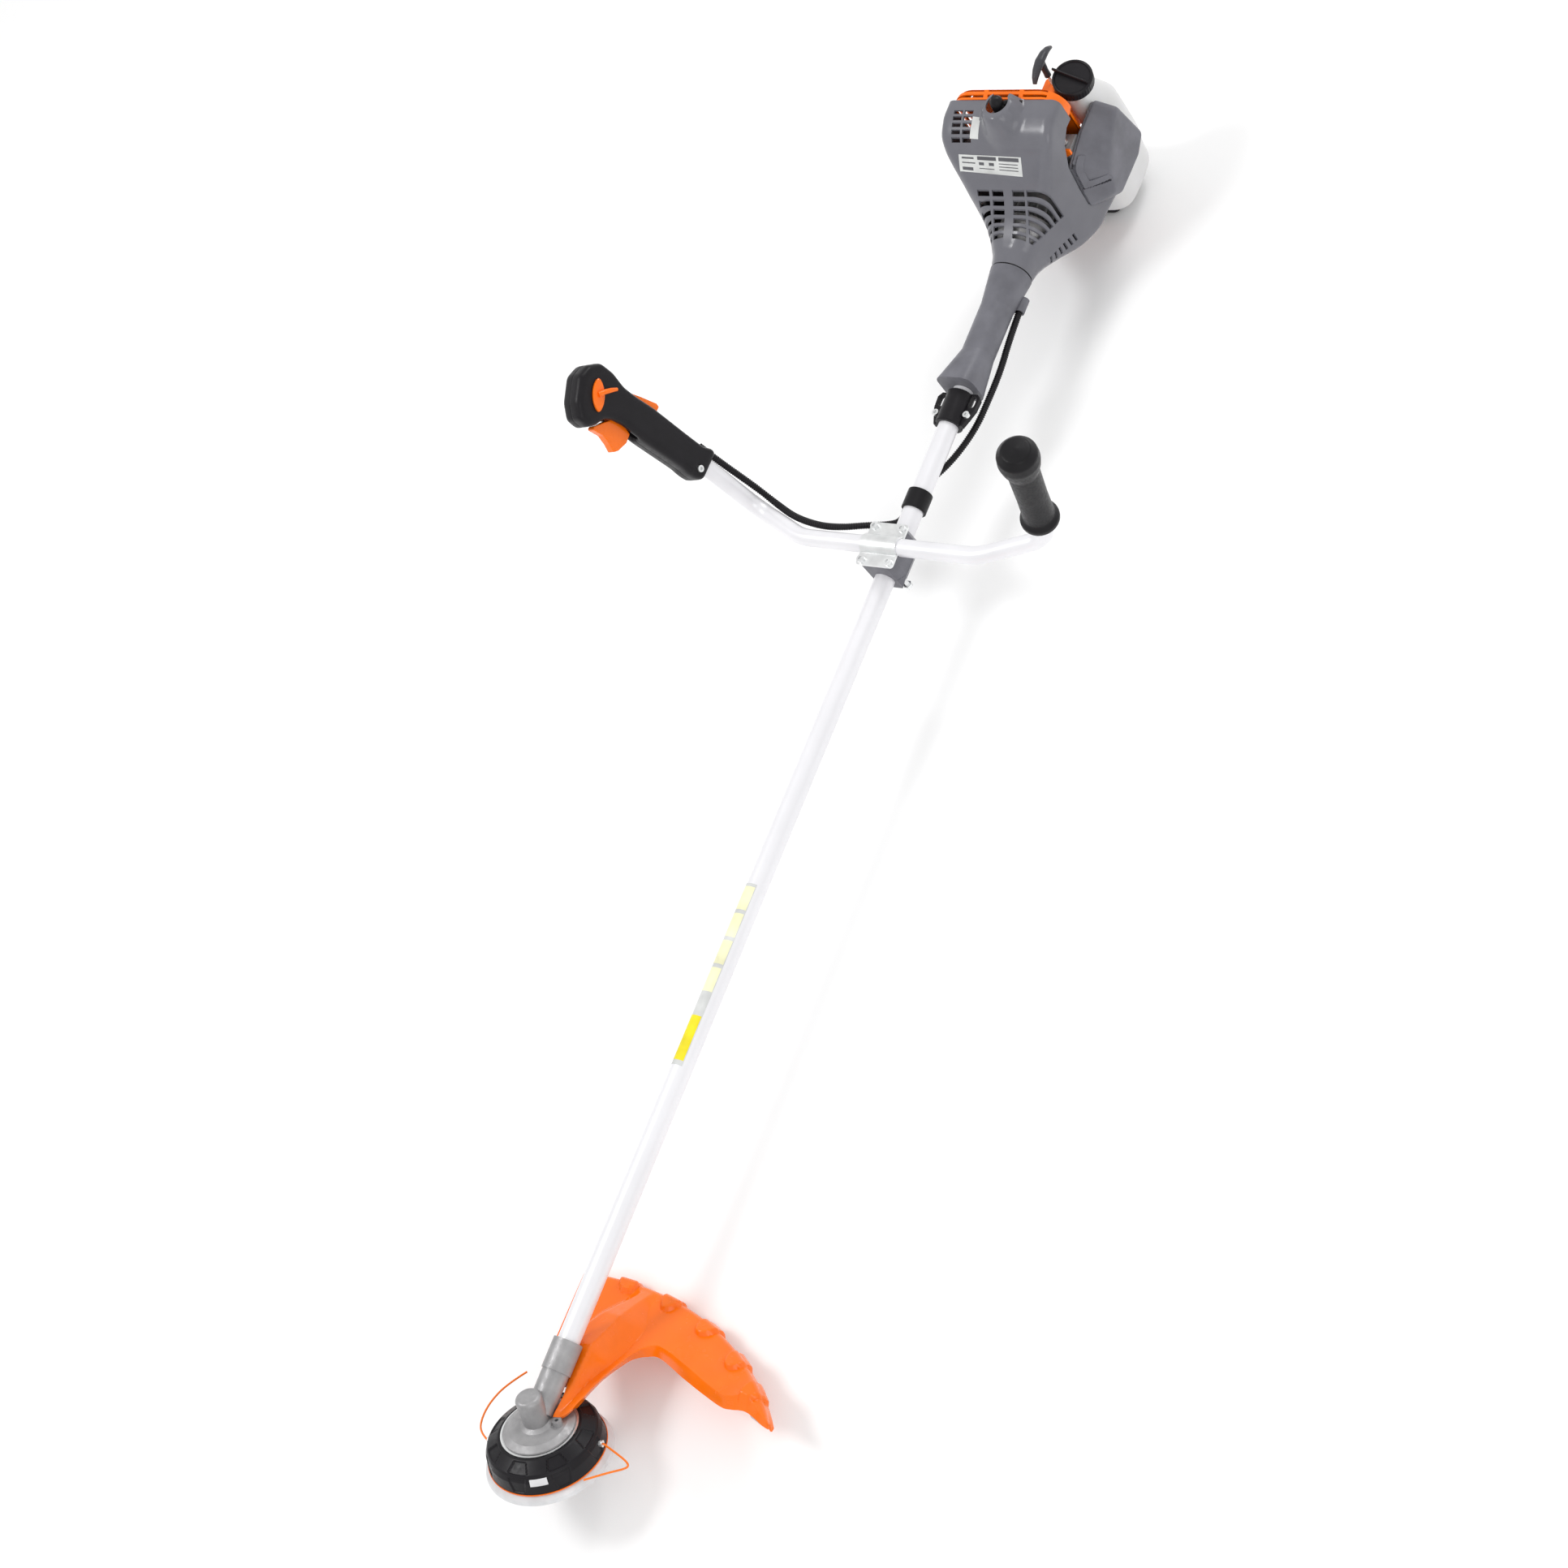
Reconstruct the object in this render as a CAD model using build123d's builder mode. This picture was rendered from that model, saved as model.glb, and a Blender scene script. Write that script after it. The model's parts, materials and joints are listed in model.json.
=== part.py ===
from build123d import *
import math
import os

os.makedirs("parts", exist_ok=True)

# Petrol brush cutter with a straight shaft, lying level on its stand and its guard.
# Frame: +Z up, +Y towards the engine, +X towards the operator's left hand.
# The origin is on the stand's underside, below the shaft axis.
# A "station" is a distance along the shaft from the crossing of shaft and spindle.

# ---------------------------------------------------------------- driving dimensions
SHAFT_Z = 125.0  # height of the shaft axis above the ground
BASE_STATION = 1715.0  # station of the origin
SPINDLE_ANGLE = 60.0  # between the shaft and the cutting spindle
TUBE_R = 13.0
TUBE_BORE = 11.5
TUBE_FRONT = 36.0
TUBE_REAR = 1536.0
BAR_R = 11.0
BAR_BORE = 9.5
BAR_RISE = 29.0  # height of the handlebar above the shaft axis
BAR_STATION = 1106.0
BAR_SHIFT = 7.0  # how far the bar sits towards the left hand in its clamp
HEAD_R = 68.5
LINE_R = 1.2
CONDUIT_R = 4.5
CYLINDER_STATION = 1664.0
ENGINE_BORE_R = 22.0
CRANK_THROW = 16.0
RUNNING = 0.03  # radial play of a running fit
SLIDING = 0.3  # gap between curved faces of pieces that move past each other
TOUCH = 0.02  # radial play where a round piece is held in a bore

# ---------------------------------------------------------------- construction planes


def at(x, station, z):
    """A point given from the shaft axis, in the part's frame."""
    return Vector(x, station - BASE_STATION, SHAFT_Z + z)


def across(station):
    """Section through the shaft: local x to the right hand, y up, normal to the rear."""
    return Plane(origin=at(0, station, 0), x_dir=(-1, 0, 0), z_dir=(0, 1, 0))


def level(z):
    """Level plane: local x to the left hand, local y is the station."""
    return Plane(origin=at(0, 0, z), x_dir=(1, 0, 0), z_dir=(0, 0, 1))


def side(x):
    """Upright plane along the shaft: local x is the station, local y up."""
    return Plane(origin=at(x, 0, 0), x_dir=(0, 1, 0), z_dir=(1, 0, 0))


SPINDLE_UP = Vector(0, 1, 0).rotate(Axis.X, SPINDLE_ANGLE)


def deck(h):
    """Plane across the spindle at height h: local x to the left hand, y to the rear."""
    return Plane(origin=at(0, 0, 0) + SPINDLE_UP * h, x_dir=(1, 0, 0), z_dir=SPINDLE_UP)


DECK_SIDE = Plane(origin=at(0, 0, 0), x_dir=deck(0).y_dir, z_dir=(1, 0, 0))


SPINDLE_AXIS = Axis(at(0, 0, 0), SPINDLE_UP)
SHAFT_AXIS = Axis(at(0, 0, 0), (0, 1, 0))


# ---------------------------------------------------------------- ball bearings
# Each bearing is its bore radius, its outer radius and its width.
BEARING_608 = (4.0, 11.0, 7.0)
BEARING_6900 = (5.0, 11.0, 6.0)
BEARING_6001 = (6.0, 14.0, 8.0)
BEARING_6202 = (7.5, 17.5, 11.0)
SPINDLE_TOP_SEAT = 21.0  # heights along the spindle
SPINDLE_LOW_SEAT = -12.0
PINION_SEATS = (21.0, 28.0)  # stations
DRUM_SEATS = (1552.0, 1562.0)
CRANK_SEATS = (1630.0, 1686.0)

SEATS = [(deck(SPINDLE_TOP_SEAT), BEARING_608), (deck(SPINDLE_LOW_SEAT), BEARING_6001)]
SEATS += [(across(station), BEARING_6900) for station in PINION_SEATS]
SEATS += [(across(station), BEARING_6001) for station in DRUM_SEATS]
SEATS += [(across(station), BEARING_6202) for station in CRANK_SEATS]

with BuildPart() as ball_bearings:
    for plane, (bore, outer, width) in SEATS:
        with BuildSketch(plane):
            Circle(outer)
            Circle(bore, mode=Mode.SUBTRACT)
        extrude(amount=width)

# ---------------------------------------------------------------- screw places
# Each plane lies under a screw's head, its normal pointing out along the head.
SCREW_R = 2.5
SCREW_LENGTH = 10.0
GUARD_SCREW_LENGTH = 20.0
GUARD_SCREWS = [
    Plane(origin=deck(-2).from_local_coords(Vector(u, 60, 0)), x_dir=(1, 0, 0), z_dir=-SPINDLE_UP)
    for u in (-7, 7)
]

# ---------------------------------------------------------------- gear case
CAP_R = 15.3
CAP_TOP = 35.0
COLLAR_R = 17.3
COLLAR_FRONT = 55.0
COLLAR_REAR = 91.0
NECK_R = 15.8
NECK_FRONT = 8.0
GEAR_CAVITY_R = 12.6
LUG_AT = (24.5, 7.0)
LUG_R = 5.5
LUG_HOLE_R = 2.2
CASE_PROFILE = [
    (0, -13), (42, -13), (42, -10.5), (34, -7), (20, -4.5),
    (CAP_R, -1), (CAP_R, CAP_TOP), (0, CAP_TOP),
]

with BuildPart() as gear_case:
    with BuildSketch(DECK_SIDE):
        with BuildLine():
            Polyline(*CASE_PROFILE, close=True)
        make_face()
    revolve(axis=SPINDLE_AXIS)
    fillet(gear_case.edges().filter_by(GeomType.CIRCLE).sort_by(SPINDLE_AXIS)[-1], 5)
    with BuildSketch(across(NECK_FRONT)):
        Circle(NECK_R)
    extrude(amount=COLLAR_FRONT - NECK_FRONT)
    with BuildSketch(across(COLLAR_FRONT)):
        Circle(COLLAR_R)
    extrude(amount=COLLAR_REAR - COLLAR_FRONT)
    with BuildSketch(deck(-8)):
        with Locations(LUG_AT):
            Circle(LUG_R)
    extrude(amount=9)
    for plane in GUARD_SCREWS:
        with BuildSketch(plane):
            Circle(SCREW_R)
        extrude(amount=-GUARD_SCREW_LENGTH, mode=Mode.SUBTRACT)
    # bores for the tube, the pinion bearings, the gears and the spindle bearings
    with BuildSketch(across(COLLAR_REAR)):
        Circle(TUBE_R + TOUCH)
    extrude(amount=TUBE_FRONT - COLLAR_REAR, mode=Mode.SUBTRACT)
    with BuildSketch(across(TUBE_FRONT)):
        Circle(BEARING_6900[1] + TOUCH)
    extrude(amount=-TUBE_FRONT, mode=Mode.SUBTRACT)
    with BuildSketch(deck(-4)):
        Circle(GEAR_CAVITY_R)
    extrude(amount=4 + SPINDLE_TOP_SEAT, mode=Mode.SUBTRACT)
    with BuildSketch(deck(SPINDLE_TOP_SEAT)):
        Circle(BEARING_608[1] + TOUCH)
    extrude(amount=BEARING_608[2], mode=Mode.SUBTRACT)
    with BuildSketch(deck(-13)):
        Circle(BEARING_6001[1] + TOUCH)
    extrude(amount=9, mode=Mode.SUBTRACT)
    with BuildSketch(deck(1)):
        with Locations(LUG_AT):
            Circle(LUG_HOLE_R)
    extrude(amount=-7, mode=Mode.SUBTRACT)

# ---------------------------------------------------------------- bevel gears and shafts
# The pitch cones of the two gears meet on the crossing of the axes, at 25 and 35 degrees.
PINION_TEETH = 14
CROWN_TEETH = 19
PINION_CONE = 25.0
CROWN_CONE = 35.0
PINION_PROFILE = [
    (11.9, 0), (11.9, 5.3), (17.2, 7.8), (17.2, 6.5), (21, 6.5), (21, 4.97),
    (34, 4.97), (34, 6.5), (46, 6.5), (46, 4.02), (36, 4.02), (36, 0),
]
OUTPUT_PROFILE = [
    (0, 28), (3.97, 28), (3.97, 20.8), (10.6, 20.5), (10.6, 16.1), (7.3, 11.1), (4.6, 11.1),
    (4.6, -3), (5.97, -3), (5.97, -13), (5, -13), (5, -42), (0, -42),
]

with BuildPart() as pinion_shaft:
    with BuildSketch(side(0)):
        with BuildLine():
            Polyline(*PINION_PROFILE, close=True)
        make_face()
    revolve(axis=SHAFT_AXIS)
    with Locations(across(14.5)):
        with PolarLocations(7.2, PINION_TEETH):
            Box(2, 1.1, 9, rotation=(0, PINION_CONE, 0), mode=Mode.SUBTRACT)

with BuildPart() as output_shaft:
    with BuildSketch(DECK_SIDE):
        with BuildLine():
            Polyline(*OUTPUT_PROFILE, close=True)
        make_face()
    revolve(axis=SPINDLE_AXIS)
    with Locations(deck(13.4)):
        with PolarLocations(9.6, CROWN_TEETH):
            Box(2, 1.1, 10, rotation=(0, CROWN_CONE, 0), mode=Mode.SUBTRACT)

# ---------------------------------------------------------------- cutting head
HEAD_RIM = -46.0
EXIT_H = -36.0  # height of the two line exits along the spindle
EXIT_ANGLE = 20.0
HOUSING_PROFILE = [
    (5.02, -17), (44, -17), (44, -14), (48, -14), (63, -23), (67, -30), (HEAD_R, HEAD_RIM),
    (66, HEAD_RIM), (64.5, -31), (61, -25.5), (47, -19.5), (12, -19.5), (12, -40), (5.02, -40),
]
SPOOL_PROFILE = [
    (13, -22), (49, -22), (49, -24), (26, -24), (26, -46.3), (69.2, -46.3),
    (69.2, -47.6), (23, -47.6), (23, -44), (13, -44),
]
COVER_PROFILE = [
    (18, -61), (70, -61), (74.5, -57), (73, -53), (67, -47.9),
    (61, -47.9), (66, -54), (66, -58.5), (18, -58.5),
]
KNOB_PROFILE = [(0, -77), (17, -77), (24, -73), (24, -66.5), (17.6, -65), (17.6, -50), (0, -50)]

with BuildPart() as mounting_flange:
    with BuildSketch(deck(-13.4)):
        Circle(43.5)
        Circle(5.02, mode=Mode.SUBTRACT)
    extrude(amount=-3.5)

with BuildPart() as head_housing:
    with BuildSketch(DECK_SIDE):
        with BuildLine():
            Polyline(*HOUSING_PROFILE, close=True)
        make_face()
    revolve(axis=SPINDLE_AXIS)
    with Locations(deck(EXIT_H)):
        with PolarLocations(60, 2, start_angle=EXIT_ANGLE):
            Cylinder(4, 30, rotation=(0, 90, 0), mode=Mode.SUBTRACT)

with BuildPart() as line_eyelets:
    with Locations(deck(EXIT_H)):
        with PolarLocations(67, 2, start_angle=EXIT_ANGLE):
            Cylinder(3.9, 6, rotation=(0, 90, 0))
            Cylinder(LINE_R + 0.1, 6, rotation=(0, 90, 0), mode=Mode.SUBTRACT)

with BuildPart() as line_spool:
    with BuildSketch(DECK_SIDE):
        with BuildLine():
            Polyline(*SPOOL_PROFILE, close=True)
        make_face()
    revolve(axis=SPINDLE_AXIS)

with BuildPart() as wound_line:
    with BuildSketch(deck(-24.2)):
        Circle(50)
        Circle(26.2, mode=Mode.SUBTRACT)
    extrude(amount=-21.8)
    fillet(wound_line.edges().sort_by(SortBy.LENGTH)[-2:], 4)

with BuildPart() as head_cover:
    with BuildSketch(DECK_SIDE):
        with BuildLine():
            Polyline(*COVER_PROFILE, close=True)
        make_face()
    revolve(axis=SPINDLE_AXIS)

with BuildPart() as bump_knob:
    with BuildSketch(DECK_SIDE):
        with BuildLine():
            Polyline(*KNOB_PROFILE, close=True)
        make_face()
    revolve(axis=SPINDLE_AXIS)

# ---------------------------------------------------------------- trimmer line
# Both tails leave their eyelets level with the deck; one is folded back on itself.


def smooth_radii(points):
    """The largest arc at each corner that leaves a tenth of the shorter run straight."""
    radii = []
    for before, corner, after in zip(points, points[1:], points[2:]):
        into, out = corner - before, after - corner
        half_turn = math.radians(into.get_angle(out)) / 2
        radii.append(0.45 * min(into.length, out.length) / math.tan(half_turn))
    return radii


def deck_points(route):
    return [deck(EXIT_H).from_local_coords(Vector(x, y, 0)) for x, y in route]


FOLDED_TAIL = deck_points(
    [(66.2, 24.1), (91, 18), (110, 12.5), (115.5, 7.5), (111, 1.5), (97, -10), (79, -28)]
)
LONG_TAIL = deck_points([(-66.2, -24.1), (-84, -18), (-97, 1), (-104, 26), (-103, 54), (-93, 79)])
print("line tail radii", smooth_radii(FOLDED_TAIL), smooth_radii(LONG_TAIL))

with BuildPart() as line_tail_folded:
    with BuildLine():
        folded_path = FilletPolyline(*FOLDED_TAIL, radius=smooth_radii(FOLDED_TAIL))
    with BuildSketch(Plane(origin=folded_path @ 0, z_dir=folded_path % 0)):
        Circle(LINE_R)
    sweep()

with BuildPart() as line_tail_long:
    with BuildLine():
        long_path = FilletPolyline(*LONG_TAIL, radius=smooth_radii(LONG_TAIL))
    with BuildSketch(Plane(origin=long_path @ 0, z_dir=long_path % 0)):
        Circle(LINE_R)
    sweep()

# ---------------------------------------------------------------- guard and line cutter
# The guard's outline is drawn on the deck plane, local x to the left hand, y to the rear.
GUARD_LEFT = (-105, 213)
GUARD_BACK = (82, 203)
GUARD_TIP = (254, 97)
GUARD_NOTCH = (188, 112)
GUARD_BEND = (72, 141)
GUARD_THROAT = (17, 100)
GUARD_CHEEK = (24, 16)
GUARD_TOP = 1.0
GUARD_WALL = 3.0
SKIRT_BOTTOM = -16.0
LIP_BOTTOM = -9.0
GUARD_CLEAR_R = 44.0
WEDGE_PROFILE = [(44, -1.5), (50, 8), (92, 32), (150, 22), (206, 1), (206, -1.5)]
CUTTER_HOLE_R = 2.0

with BuildPart() as guard:
    with BuildSketch(deck(SKIRT_BOTTOM)):
        with BuildLine():
            ThreePointArc(GUARD_LEFT, GUARD_BACK, GUARD_TIP)
            Polyline(GUARD_TIP, GUARD_NOTCH, GUARD_BEND)
            ThreePointArc(GUARD_BEND, (33, 128), GUARD_THROAT)
            Polyline(GUARD_THROAT, GUARD_CHEEK, (16, 16), (16, 48), (-20, 48), GUARD_LEFT)
        make_face()
    extrude(amount=GUARD_TOP - SKIRT_BOTTOM)
    with BuildSketch(deck(SKIRT_BOTTOM)):
        with BuildLine():
            ThreePointArc((-101, 208), (81, 199.5), (246, 97.5))
            Polyline((246, 97.5), (188, 115.5), (70, 144.5))
            ThreePointArc((70, 144.5), (29, 130), (13, 96))
            Polyline((13, 96), (13, 52), (-17, 52), (-101, 208))
        make_face()
    extrude(amount=GUARD_TOP - GUARD_WALL - SKIRT_BOTTOM, mode=Mode.SUBTRACT)
    with BuildSketch(deck(SKIRT_BOTTOM)):
        with BuildLine():
            Polyline((-97, 190), (60, 175), (186, 122), (215, 100), (140, -20), (-60, -20))
            Line((-60, -20), (-97, 190))
        make_face()
    extrude(amount=LIP_BOTTOM - SKIRT_BOTTOM, mode=Mode.SUBTRACT)
    with BuildSketch(DECK_SIDE):
        with BuildLine():
            Polyline(*WEDGE_PROFILE, close=True)
        make_face()
    extrude(amount=17, both=True)
    with BuildSketch(across(0)):
        Circle(COLLAR_R + SLIDING)
    extrude(amount=COLLAR_REAR + 1, mode=Mode.SUBTRACT)
    with BuildSketch(deck(SKIRT_BOTTOM)):
        Circle(GUARD_CLEAR_R)
    extrude(amount=-SKIRT_BOTTOM - 4.2, mode=Mode.SUBTRACT)
    for plane in GUARD_SCREWS:
        with BuildSketch(plane):
            Circle(SCREW_R + 0.1)
        extrude(amount=-GUARD_SCREW_LENGTH, mode=Mode.SUBTRACT)
    with BuildSketch(across(20)):
        Circle(TUBE_R + SLIDING)
    extrude(amount=200, mode=Mode.SUBTRACT)

CUTTER_PLANE = Plane(
    origin=deck(-12).from_local_coords(Vector(226, 106.8, 0)),
    x_dir=deck(0).from_local_coords(Vector(58, -17.5, 0)) - at(0, 0, 0),
    z_dir=deck(0).from_local_coords(Vector(17.5, 58, 0)) - at(0, 0, 0),
)

with BuildPart() as line_cutter:
    with BuildSketch(CUTTER_PLANE):
        Rectangle(22, 16)
        with GridLocations(12, 0, 2, 1):
            Circle(CUTTER_HOLE_R, mode=Mode.SUBTRACT)
    extrude(amount=1.5)
    chamfer(line_cutter.edges().filter_by(Axis(at(0, 0, 0), SPINDLE_UP)).sort_by(Axis.X)[-1], 0.7)

# ---------------------------------------------------------------- shaft
DRIVE_SHAFT_R = 4.0
DRIVE_SHAFT_END = 1556.0
BUSHING_LENGTH = 30.0
BUSHING_STATIONS = (250, 500, 750, 1000, 1250)

with BuildPart() as shaft_tube:
    with BuildSketch(across(TUBE_FRONT)):
        Circle(TUBE_R)
        Circle(TUBE_BORE, mode=Mode.SUBTRACT)
    extrude(amount=TUBE_REAR - TUBE_FRONT)

with BuildPart() as drive_shaft:
    with BuildSketch(across(TUBE_FRONT)):
        Circle(DRIVE_SHAFT_R)
    extrude(amount=DRIVE_SHAFT_END - TUBE_FRONT)
    chamfer(drive_shaft.edges().filter_by(GeomType.CIRCLE), 0.8)

with BuildPart() as shaft_bushings:
    for station in BUSHING_STATIONS:
        with BuildSketch(across(station)):
            Circle(TUBE_BORE - TOUCH)
            Circle(DRIVE_SHAFT_R + RUNNING, mode=Mode.SUBTRACT)
        extrude(amount=BUSHING_LENGTH)

# ---------------------------------------------------------------- handlebar and its clamp
BAR_BEND = 130.0  # from the bar's middle to its first bend
BAR_CORNER = (213.0, 34.0, 1.0)  # second bend: out, rearward, down
BAR_END = (262.0, 34.0, 183.0)  # end: out, rearward, up
CLAMP_HALF_WIDTH = 27.0
CLAMP_HALF_DEPTH = 30.0
CLAMP_BOTTOM = -19.0
CLAMP_BOLT_SPACING = (40.0, 47.0)
CLAMP_BOLT_R = 3.0
PLATE_BOTTOM = BAR_RISE + 0.6
PLATE_THICKNESS = 2.5
SADDLE_R = BAR_R + PLATE_THICKNESS


def bar_point(out, rearward, up, hand):
    """A point of the bar, hand being +1 for the left hand and -1 for the right."""
    return at(BAR_SHIFT + hand * out, BAR_STATION + rearward, BAR_RISE + up)


def upright(hand):
    """Plane across the bar's upright at its lower bend, normal along the grip, x forward."""
    foot = bar_point(BAR_CORNER[0], BAR_CORNER[1], -BAR_CORNER[2], hand)
    top = bar_point(*BAR_END, hand)
    return Plane(origin=foot, x_dir=(0, -1, 0), z_dir=top - foot)


BAR_POINTS = [
    bar_point(*BAR_END, -1),
    bar_point(BAR_CORNER[0], BAR_CORNER[1], -BAR_CORNER[2], -1),
    bar_point(BAR_BEND, 0, 0, -1),
    bar_point(BAR_BEND, 0, 0, 1),
    bar_point(BAR_CORNER[0], BAR_CORNER[1], -BAR_CORNER[2], 1),
    bar_point(*BAR_END, 1),
]
BAR_RADII = [30, 70, 70, 30]

with BuildPart() as handlebar:
    with BuildLine():
        bar_path = FilletPolyline(*BAR_POINTS, radius=BAR_RADII)
    with BuildSketch(Plane(origin=bar_path @ 0, z_dir=bar_path % 0)):
        Circle(BAR_R)
        Circle(BAR_BORE, mode=Mode.SUBTRACT)
    sweep()

CLAMP_SECTION = [(-27, 29), (27, 29), (27, -2), (16, -19), (-16, -19), (-27, -2)]


def bar_section(x):
    """Plane across the middle of the bar at x, local x rearward, y up, centred on the bar."""
    return Plane(origin=at(x, BAR_STATION, BAR_RISE), x_dir=(0, 1, 0), z_dir=(1, 0, 0))


with BuildPart() as bar_clamp_block:
    with BuildSketch(across(BAR_STATION - CLAMP_HALF_DEPTH)):
        with BuildLine():
            Polyline(*CLAMP_SECTION, close=True)
        make_face()
    extrude(amount=2 * CLAMP_HALF_DEPTH)
    chamfer(bar_clamp_block.edges().filter_by(Axis.Z), 9)
    split(bisect_by=level(0.2), keep=Keep.TOP)
    with BuildSketch(across(BAR_STATION - CLAMP_HALF_DEPTH)):
        Circle(TUBE_R + TOUCH)
    extrude(amount=2 * CLAMP_HALF_DEPTH, mode=Mode.SUBTRACT)
    with BuildSketch(bar_section(-CLAMP_HALF_WIDTH)):
        Circle(BAR_R + TOUCH)
    extrude(amount=2 * CLAMP_HALF_WIDTH, mode=Mode.SUBTRACT)
    with BuildSketch(level(0)):
        with Locations((0, BAR_STATION)):
            with GridLocations(*CLAMP_BOLT_SPACING, 2, 2):
                Circle(CLAMP_BOLT_R + 0.1)
    extrude(amount=BAR_RISE, mode=Mode.SUBTRACT)

with BuildPart() as bar_clamp_lower:
    with BuildSketch(across(BAR_STATION - CLAMP_HALF_DEPTH)):
        with BuildLine():
            Polyline(*CLAMP_SECTION, close=True)
        make_face()
    extrude(amount=2 * CLAMP_HALF_DEPTH)
    chamfer(bar_clamp_lower.edges().filter_by(Axis.Z), 9)
    split(bisect_by=level(-0.2), keep=Keep.BOTTOM)
    with BuildSketch(across(BAR_STATION - CLAMP_HALF_DEPTH)):
        Circle(TUBE_R + TOUCH)
    extrude(amount=2 * CLAMP_HALF_DEPTH, mode=Mode.SUBTRACT)
    with BuildSketch(level(CLAMP_BOTTOM)):
        with Locations((0, BAR_STATION)):
            with GridLocations(*CLAMP_BOLT_SPACING, 2, 2):
                Circle(CLAMP_BOLT_R + 0.1)
    extrude(amount=-CLAMP_BOTTOM, mode=Mode.SUBTRACT)

with BuildPart() as bar_clamp_plate:
    with BuildSketch(level(PLATE_BOTTOM)):
        with Locations((0, BAR_STATION)):
            RectangleRounded(2 * CLAMP_HALF_WIDTH, 2 * CLAMP_HALF_DEPTH, 4)
    extrude(amount=PLATE_THICKNESS)
    with BuildSketch(bar_section(-CLAMP_HALF_WIDTH + 1)):
        Circle(SADDLE_R)
    extrude(amount=2 * CLAMP_HALF_WIDTH - 2)
    split(bisect_by=level(PLATE_BOTTOM), keep=Keep.TOP)
    with BuildSketch(bar_section(-CLAMP_HALF_WIDTH)):
        Circle(BAR_R + TOUCH)
    extrude(amount=2 * CLAMP_HALF_WIDTH, mode=Mode.SUBTRACT)
    with BuildSketch(level(PLATE_BOTTOM)):
        with Locations((0, BAR_STATION)):
            with GridLocations(*CLAMP_BOLT_SPACING, 2, 2):
                Circle(CLAMP_BOLT_R + 0.1)
    extrude(amount=PLATE_THICKNESS, mode=Mode.SUBTRACT)

with BuildPart() as bar_clamp_bolts:
    with BuildSketch(level(CLAMP_BOTTOM - 5)):
        with Locations((0, BAR_STATION)):
            with GridLocations(*CLAMP_BOLT_SPACING, 2, 2):
                RegularPolygon(5.5, 6)
    extrude(amount=5)
    with BuildSketch(level(CLAMP_BOTTOM)):
        with Locations((0, BAR_STATION)):
            with GridLocations(*CLAMP_BOLT_SPACING, 2, 2):
                Circle(CLAMP_BOLT_R)
    extrude(amount=PLATE_BOTTOM + PLATE_THICKNESS - CLAMP_BOTTOM)
    with BuildSketch(level(PLATE_BOTTOM + PLATE_THICKNESS)):
        with Locations((0, BAR_STATION)):
            with GridLocations(*CLAMP_BOLT_SPACING, 2, 2):
                Circle(5)
    extrude(amount=4.5)
    with BuildSketch(level(PLATE_BOTTOM + PLATE_THICKNESS + 4.5)):
        with Locations((0, BAR_STATION)):
            with GridLocations(*CLAMP_BOLT_SPACING, 2, 2):
                RegularPolygon(2.6, 6)
    extrude(amount=-2.5, mode=Mode.SUBTRACT)

# ---------------------------------------------------------------- plain grip
GRIP_PROFILE = [
    (BAR_R + TOUCH, 44), (20, 44), (23.5, 48), (23.5, 54), (19, 60), (18.3, 100), (19, 160),
    (23, 172), (25, 184), (24, 196), (17, 205), (0, 208), (0, 190.5), (BAR_R + TOUCH, 190.5),
]
LEFT_UPRIGHT = upright(1)
LEFT_SIDE = Plane(
    origin=LEFT_UPRIGHT.origin, x_dir=LEFT_UPRIGHT.x_dir, z_dir=LEFT_UPRIGHT.y_dir
)

with BuildPart() as plain_grip:
    with BuildSketch(LEFT_SIDE):
        with BuildLine():
            Polyline(*[(radius, -height) for radius, height in GRIP_PROFILE], close=True)
        make_face()
    revolve(axis=Axis(LEFT_UPRIGHT.origin, LEFT_UPRIGHT.z_dir))

# ---------------------------------------------------------------- throttle grip
# Local x is forward, local y up along the grip and local z outward, to the right.
RIGHT_UPRIGHT = upright(-1)
THROTTLE = Plane(
    origin=RIGHT_UPRIGHT.origin + RIGHT_UPRIGHT.z_dir * 90,
    x_dir=RIGHT_UPRIGHT.x_dir,
    z_dir=-RIGHT_UPRIGHT.y_dir,
)
THROTTLE_UP = Plane(origin=THROTTLE.origin, x_dir=THROTTLE.x_dir, z_dir=THROTTLE.y_dir)
BAR_IN_GRIP = 100.5
CONDUIT_IN_GRIP = 30.0
GRIP_HALF = 17.0
GRIP_OUTLINE = [
    (-18, 12), (-19, 20), (-14, 32), (-13.5, 60), (-13.5, 120), (-11, 150), (-11, 170),
    (-17, 192), (-17, 213), (-4, 228), (14, 233), (44, 222), (60, 208), (61, 192), (54, 184),
    (40, 176), (34, 166), (31, 150), (31, 110), (27, 46), (28, 32), (27, 20), (22, 12),
]
TRIGGER_OUTLINE = [
    (52, 181), (40, 171), (32, 164), (24, 176), (17, 172), (20, 160), (31, 131), (43, 130),
    (58, 136), (63, 141), (58, 151), (54, 164), (56, 180),
]
TRIGGER_SLOT = [(12, 118), (34, 118), (70, 130), (70, 170), (56, 190), (28, 180), (12, 180)]
LOCK_OUTLINE = [
    (-8, 160), (-12, 158), (-18, 138), (-24, 114), (-22.5, 109), (-15, 109), (-14.6, 112),
    (-5, 152),
]
LOCK_SLOT = [(-7, 104), (-26, 104), (-26, 162), (-2, 162), (-2, 148), (-5, 136)]
SWITCH_OUTLINE = [(3, 211), (7, 197), (20, 190), (40, 190), (37, 203), (22, 210)]
SWITCH_LEVER = [(20, 205), (14, 197), (2, 183), (6, 180), (12, 184), (27, 198)]
TRIGGER_PIVOT = (20.5, 172.0)
TRIGGER_PIN_R = 1.5
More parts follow.
